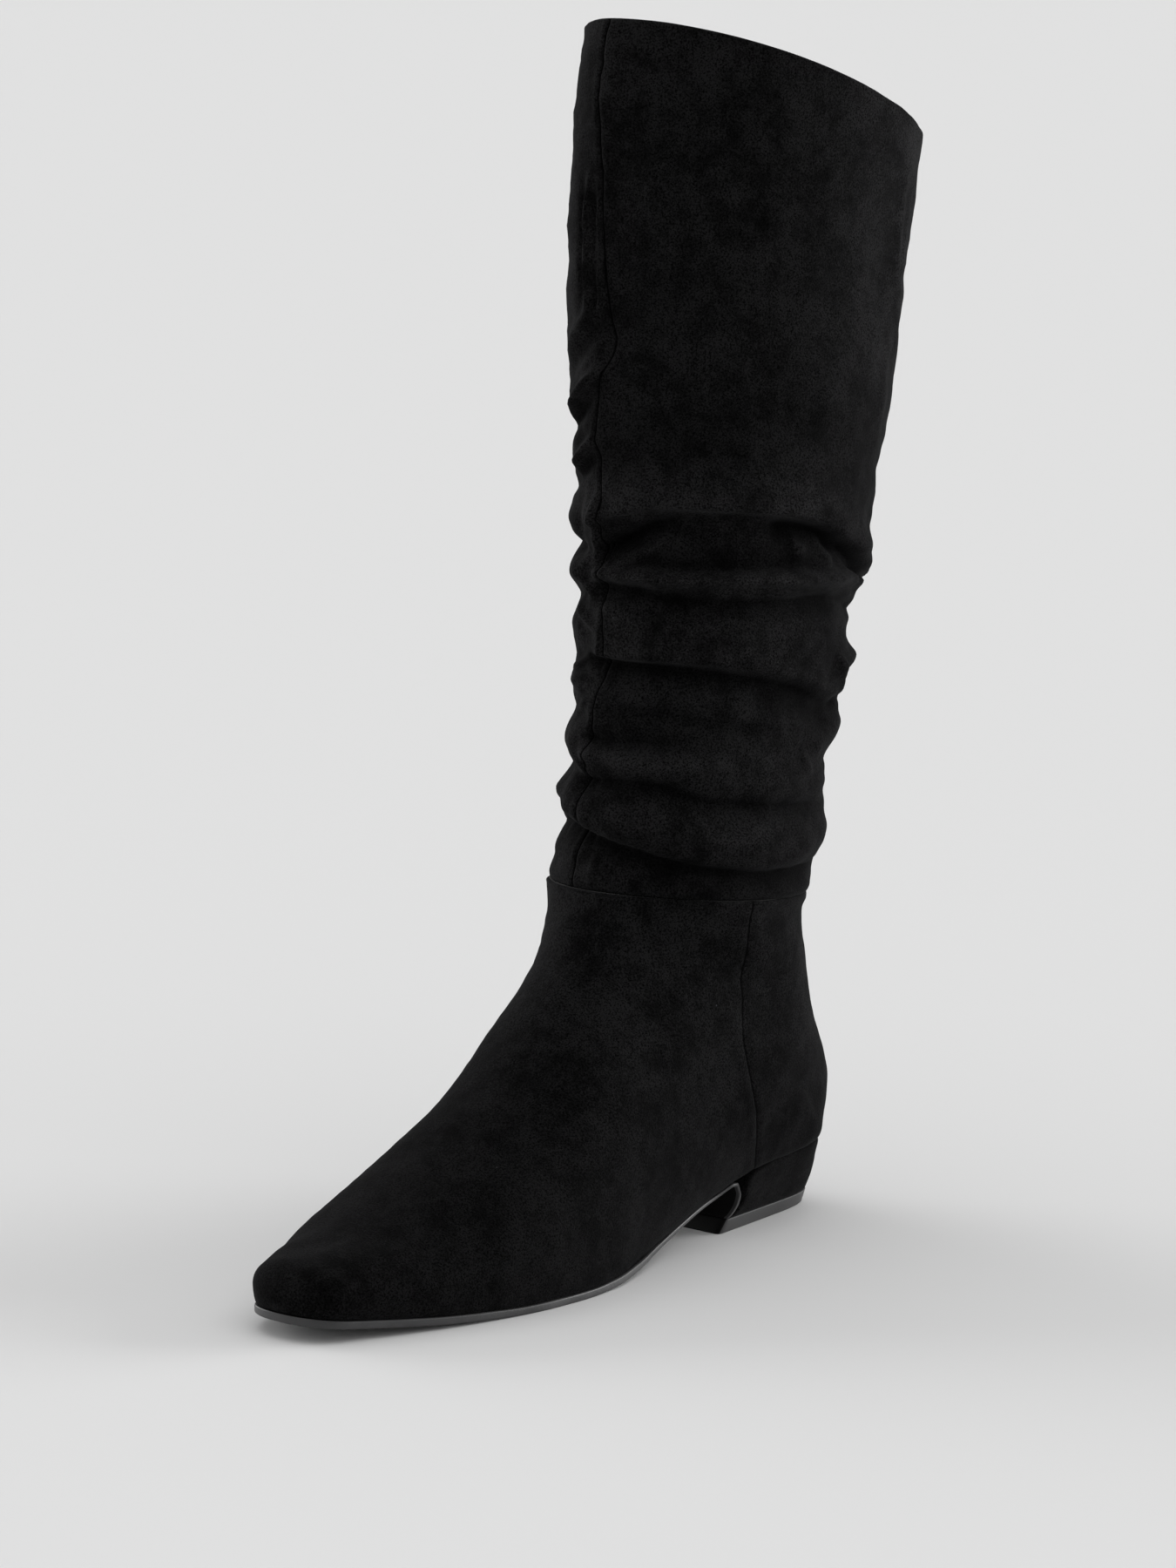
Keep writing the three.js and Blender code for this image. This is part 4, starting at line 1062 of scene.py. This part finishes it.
def noise(tree, where, scale, detail=2.0, roughness=0.5):
    """A grey noise at a place"""
    made = add(tree, "ShaderNodeTexNoise", Vector_=where, Scale_=scale, Detail_=detail, Roughness_=roughness)
    return made.outputs["Fac"]


def math_node(tree, operation, first, second):
    """The result of an operation on two values"""
    made = add(tree, "ShaderNodeMath", operation=operation)
    take(made.inputs[0], first)
    take(made.inputs[1], second)
    return made.outputs[0]


def map_range(tree, value, low, high, to_low, to_high, kind="SMOOTHSTEP"):
    """A value carried from one range to another, by a smooth step or in a straight line"""
    made = add(tree, "ShaderNodeMapRange", interpolation_type=kind, Value_=value, From_Min_=low,
               From_Max_=high, To_Min_=to_low, To_Max_=to_high)
    return made.outputs["Result"]


def blend(tree, share, first, second, kind="MIX"):
    """The second colour laid over the first by a share"""
    made = add(tree, "ShaderNodeMix", data_type="RGBA", blend_type=kind, Factor_=share)
    take(made.inputs[6], first)
    take(made.inputs[7], second)
    return made.outputs[2]


def bump(tree, height, strength, distance, **under):
    """A normal that follows a height, over the normal of a coarser bump where one is given"""
    made = add(tree, "ShaderNodeBump", Height_=height, Strength_=strength, Distance_=distance, **under)
    return made.outputs["Normal"]


def nap_group():
    """Brushed nap: wide patches where it lies another way, slanted strokes, a finer cloud and grain, and a
    few specks of lint. Its tone is the sum of patches, strokes and cloud times the grain"""
    group = bpy.data.node_groups.new("brushed_nap", "ShaderNodeTree")
    for name, kind in (("Position", "Vector"), ("Dark", "Color"), ("Light", "Color"), ("Lint", "Float")):
        group.interface.new_socket(name, in_out="INPUT", socket_type=f"NodeSocket{kind}")
    for name, kind in (("Colour", "Color"), ("Roughness", "Float"), ("Height", "Float")):
        group.interface.new_socket(name, in_out="OUTPUT", socket_type=f"NodeSocket{kind}")
    source = add(group, "NodeGroupInput").outputs
    where = source["Position"]
    wide = noise(group, where, 38, 4, 0.6)
    cloud = noise(group, where, 170, 3, 0.6)
    grain = noise(group, where, 1700, 2, 0.6)
    hair = noise(group, where, 3200, 1, 0.5)
    along = add(group, "ShaderNodeMapping", vector_type="TEXTURE", Vector_=where,
                Rotation_=(STROKE_TURN, 0, 0), Scale_=STROKE_STRETCH)
    brushed = noise(group, along.outputs["Vector"], 130, 3, 0.55)
    patches = map_range(group, wide, 0.38, 0.66, 0.12, 0.38)
    strokes = map_range(group, brushed, 0.40, 0.66, 0.0, 0.12)
    clouds = map_range(group, cloud, 0.34, 0.68, 0.0, 0.26)
    grains = map_range(group, grain, 0.33, 0.72, 0.0, 2.9, "LINEAR")
    patches = math_node(group, "ADD", math_node(group, "ADD", patches, strokes), clouds)
    tone = math_node(group, "MULTIPLY", patches, grains)
    colour = blend(group, tone, source["Dark"], source["Light"])
    speck = add(group, "ShaderNodeTexVoronoi", Vector_=where, Scale_=95.0, Randomness_=1.0)
    small = map_range(group, speck.outputs["Distance"], 0.018, 0.034, 1.0, 0.0)
    some = map_range(group, noise(group, where, 160, 1), 0.52, 0.56, 0.0, 1.0)
    lint = math_node(group, "MULTIPLY", math_node(group, "MULTIPLY", small, some), source["Lint"])
    coarse = math_node(group, "MULTIPLY", grain, 0.7)
    fine = math_node(group, "MULTIPLY", hair, 0.3)
    put(add(group, "NodeGroupOutput"), Colour=blend(group, lint, colour, LINT_GREY),
        Roughness=map_range(group, cloud, 0.3, 0.7, 0.88, 1.0), Height=math_node(group, "ADD", coarse, fine))
    return group


def new_material(name):
    """A material, its tree, its shader and the place on the boot in metres"""
    material = bpy.data.materials.new(name)
    material.use_nodes = True
    tree = material.node_tree
    where = add(tree, "ShaderNodeTexCoord").outputs["Object"]
    return material, tree, tree.nodes["Principled BSDF"], where


def suede_material(nap):
    """Black suede: the nap times the tone, which holds painted shade and light, dark grooved lines at the
    seam distance 0, and a soft sheen
    """
    material, tree, shader, where = new_material("black_suede")
    fur = add(tree, "ShaderNodeGroup", node_tree=nap, Position_=where, Dark_=NAP_DARK, Light_=NAP_LIGHT,
              Lint_=0.6).outputs
    seam = add(tree, "ShaderNodeAttribute", attribute_name="seam").outputs["Fac"]
    tone = add(tree, "ShaderNodeAttribute", attribute_name="tone").outputs["Fac"]
    gap = math_node(tree, "ABSOLUTE", seam, 0.0)
    tint = math_node(tree, "MULTIPLY", map_range(tree, gap, 0.12, 0.60, 0.15, 1.0), tone)
    groove = bump(tree, map_range(tree, gap, 0.0, 0.9, 0.0, 1.0), 0.35, 0.0006)
    put(shader, Base_Color=blend(tree, 1.0, fur["Colour"], tint, "MULTIPLY"), Roughness=fur["Roughness"],
        Normal=bump(tree, fur["Height"], 0.55, 0.0004, Normal_=groove), Sheen_Weight=0.022,
        Sheen_Roughness=0.42, Sheen_Tint=(0.95, 0.96, 1.0, 1), Specular_IOR_Level=0.02)
    return material


def lining_material(nap):
    """Dark knitted lining: two crossed fine waves for its loops, and little shine"""
    material, tree, shader, where = new_material("dark_lining")
    fur = add(tree, "ShaderNodeGroup", node_tree=nap, Position_=where, Dark_=LINING_DARK,
              Light_=LINING_LIGHT, Lint_=0.2).outputs
    bands = [add(tree, "ShaderNodeTexWave", wave_type="BANDS", bands_direction=direction, Vector_=where,
                 Scale_=scale, Distortion_=0.4, Detail_=1.0).outputs["Fac"]
             for direction, scale in (("Z", 210.0), ("DIAGONAL", 170.0))]
    loops = math_node(tree, "MULTIPLY", *bands)
    put(shader, Base_Color=fur["Colour"], Roughness=fur["Roughness"], Normal=bump(tree, loops, 0.5, 0.0003),
        Sheen_Weight=0.05, Specular_IOR_Level=0.2)
    return material


def rubber_material(name, dark, light, shine, gloss):
    """Moulded rubber: a faint cloud in its colour, fine pebbles and a satin shine"""
    material, tree, shader, where = new_material(name)
    cloud = noise(tree, where, 60, 3, 0.6)
    put(shader, Base_Color=blend(tree, map_range(tree, cloud, 0.35, 0.65, 0.0, 1.0), dark, light),
        Roughness=map_range(tree, cloud, 0.3, 0.7, shine, shine + 0.14),
        Normal=bump(tree, noise(tree, where, 1500, 2, 0.6), 0.35, 0.0002), Specular_IOR_Level=gloss)
    return material


# Floor, light and camera

def floor_piece():
    """A pale sheet, 28 metres wide, far past the view"""
    mesh = bpy.data.meshes.new("floor")
    far = 14.0
    mesh.from_pydata([(-far, -far, 0), (far, -far, 0), (far, far, 0), (-far, far, 0)], [], [(0, 1, 2, 3)])
    material, _, shader, _ = new_material("pale_floor")
    put(shader, Base_Color=(0.77, 0.77, 0.77, 1), Roughness=0.9, Specular_IOR_Level=0.0)
    mesh.materials.append(material)
    made = stand("floor", mesh)


def soft_sun(name, strength, spread, toward):
    """Even light from a wide patch of sky"""
    lamp = bpy.data.lights.new(name, "SUN")
    lamp.energy = strength
    lamp.angle = math.radians(spread)
    stand(name, lamp).rotation_euler = Vector(toward).to_track_quat("Z", "Y").to_euler()


def camera(azimuth=39.0, elevation=10.0, roll=1.0, distance=1.850, lens=132.0,
           target=(0.004, -0.08075, 0.156)):
    """The photograph's place: azimuth from the toe towards the outer side, a long lens and a small roll"""
    az, el, turn = (math.radians(v) for v in (azimuth, elevation, roll))
    behind = Vector((math.sin(az) * math.cos(el), -math.cos(az) * math.cos(el), math.sin(el)))
    right = Vector((math.cos(az), math.sin(az), 0))
    up = behind.cross(right)
    x_axis = right * math.cos(turn) + up * math.sin(turn)
    y_axis = up * math.cos(turn) - right * math.sin(turn)
    lens_data = bpy.data.cameras.new("camera")
    lens_data.sensor_fit = "VERTICAL"
    lens_data.sensor_height = 36.0
    lens_data.sensor_width = 27.0
    lens_data.lens = lens
    lens_data.clip_start = 0.05
    lens_data.clip_end = 60
    turned = Matrix((x_axis, y_axis, behind)).transposed().to_4x4()
    turned.translation = Vector(target) + behind * distance
    made = stand("camera", lens_data)
    made.matrix_world = turned
    bpy.context.scene.camera = made


def room_light():
    """An even grey room, a soft sky above and a wide light on either side of the boot"""
    world = bpy.data.worlds.new("studio")
    world.use_nodes = True
    sky = world.node_tree.nodes["Background"]
    put(sky, Color=(0.75, 0.75, 0.75, 1), Strength=0.65)
    bpy.context.scene.world = world
    soft_sun("overhead", 0.75, 80, (0.10, 0.05, 1.0))
    soft_sun("left_side", 2.8, 50, (-0.93, -0.15, 0.05))
    soft_sun("right_side", 4.2, 45, (0.56, 0.82, 0.04))


bpy.context.scene.view_settings.view_transform = "Standard"
camera()
floor_piece()
room_light()
nap = nap_group()
suede = suede_material(nap)
lining = lining_material(nap)
sole_rubber = rubber_material("sole_edge_rubber", (0.020, 0.020, 0.021, 1), RUBBER_LIGHT, 0.42, 0.5)
lift_rubber = rubber_material("lift_rubber", (0.022, 0.022, 0.023, 1), RUBBER_LIGHT, 0.45, 0.5)
# near black rubber of painted shade, for the sole's flat faces and the lift's breast
shade_rubber = rubber_material("painted_shade_rubber", (0.0012, 0.0012, 0.0013, 1), (0.003, 0.003, 0.0031, 1),
                               0.6, 0.12)
foot_piece(suede, lining)
shaft_piece(suede, lining)
heel_piece(suede)
lift_piece(lift_rubber, shade_rubber)
sole_piece(sole_rubber, shade_rubber)
sock_piece(lining)
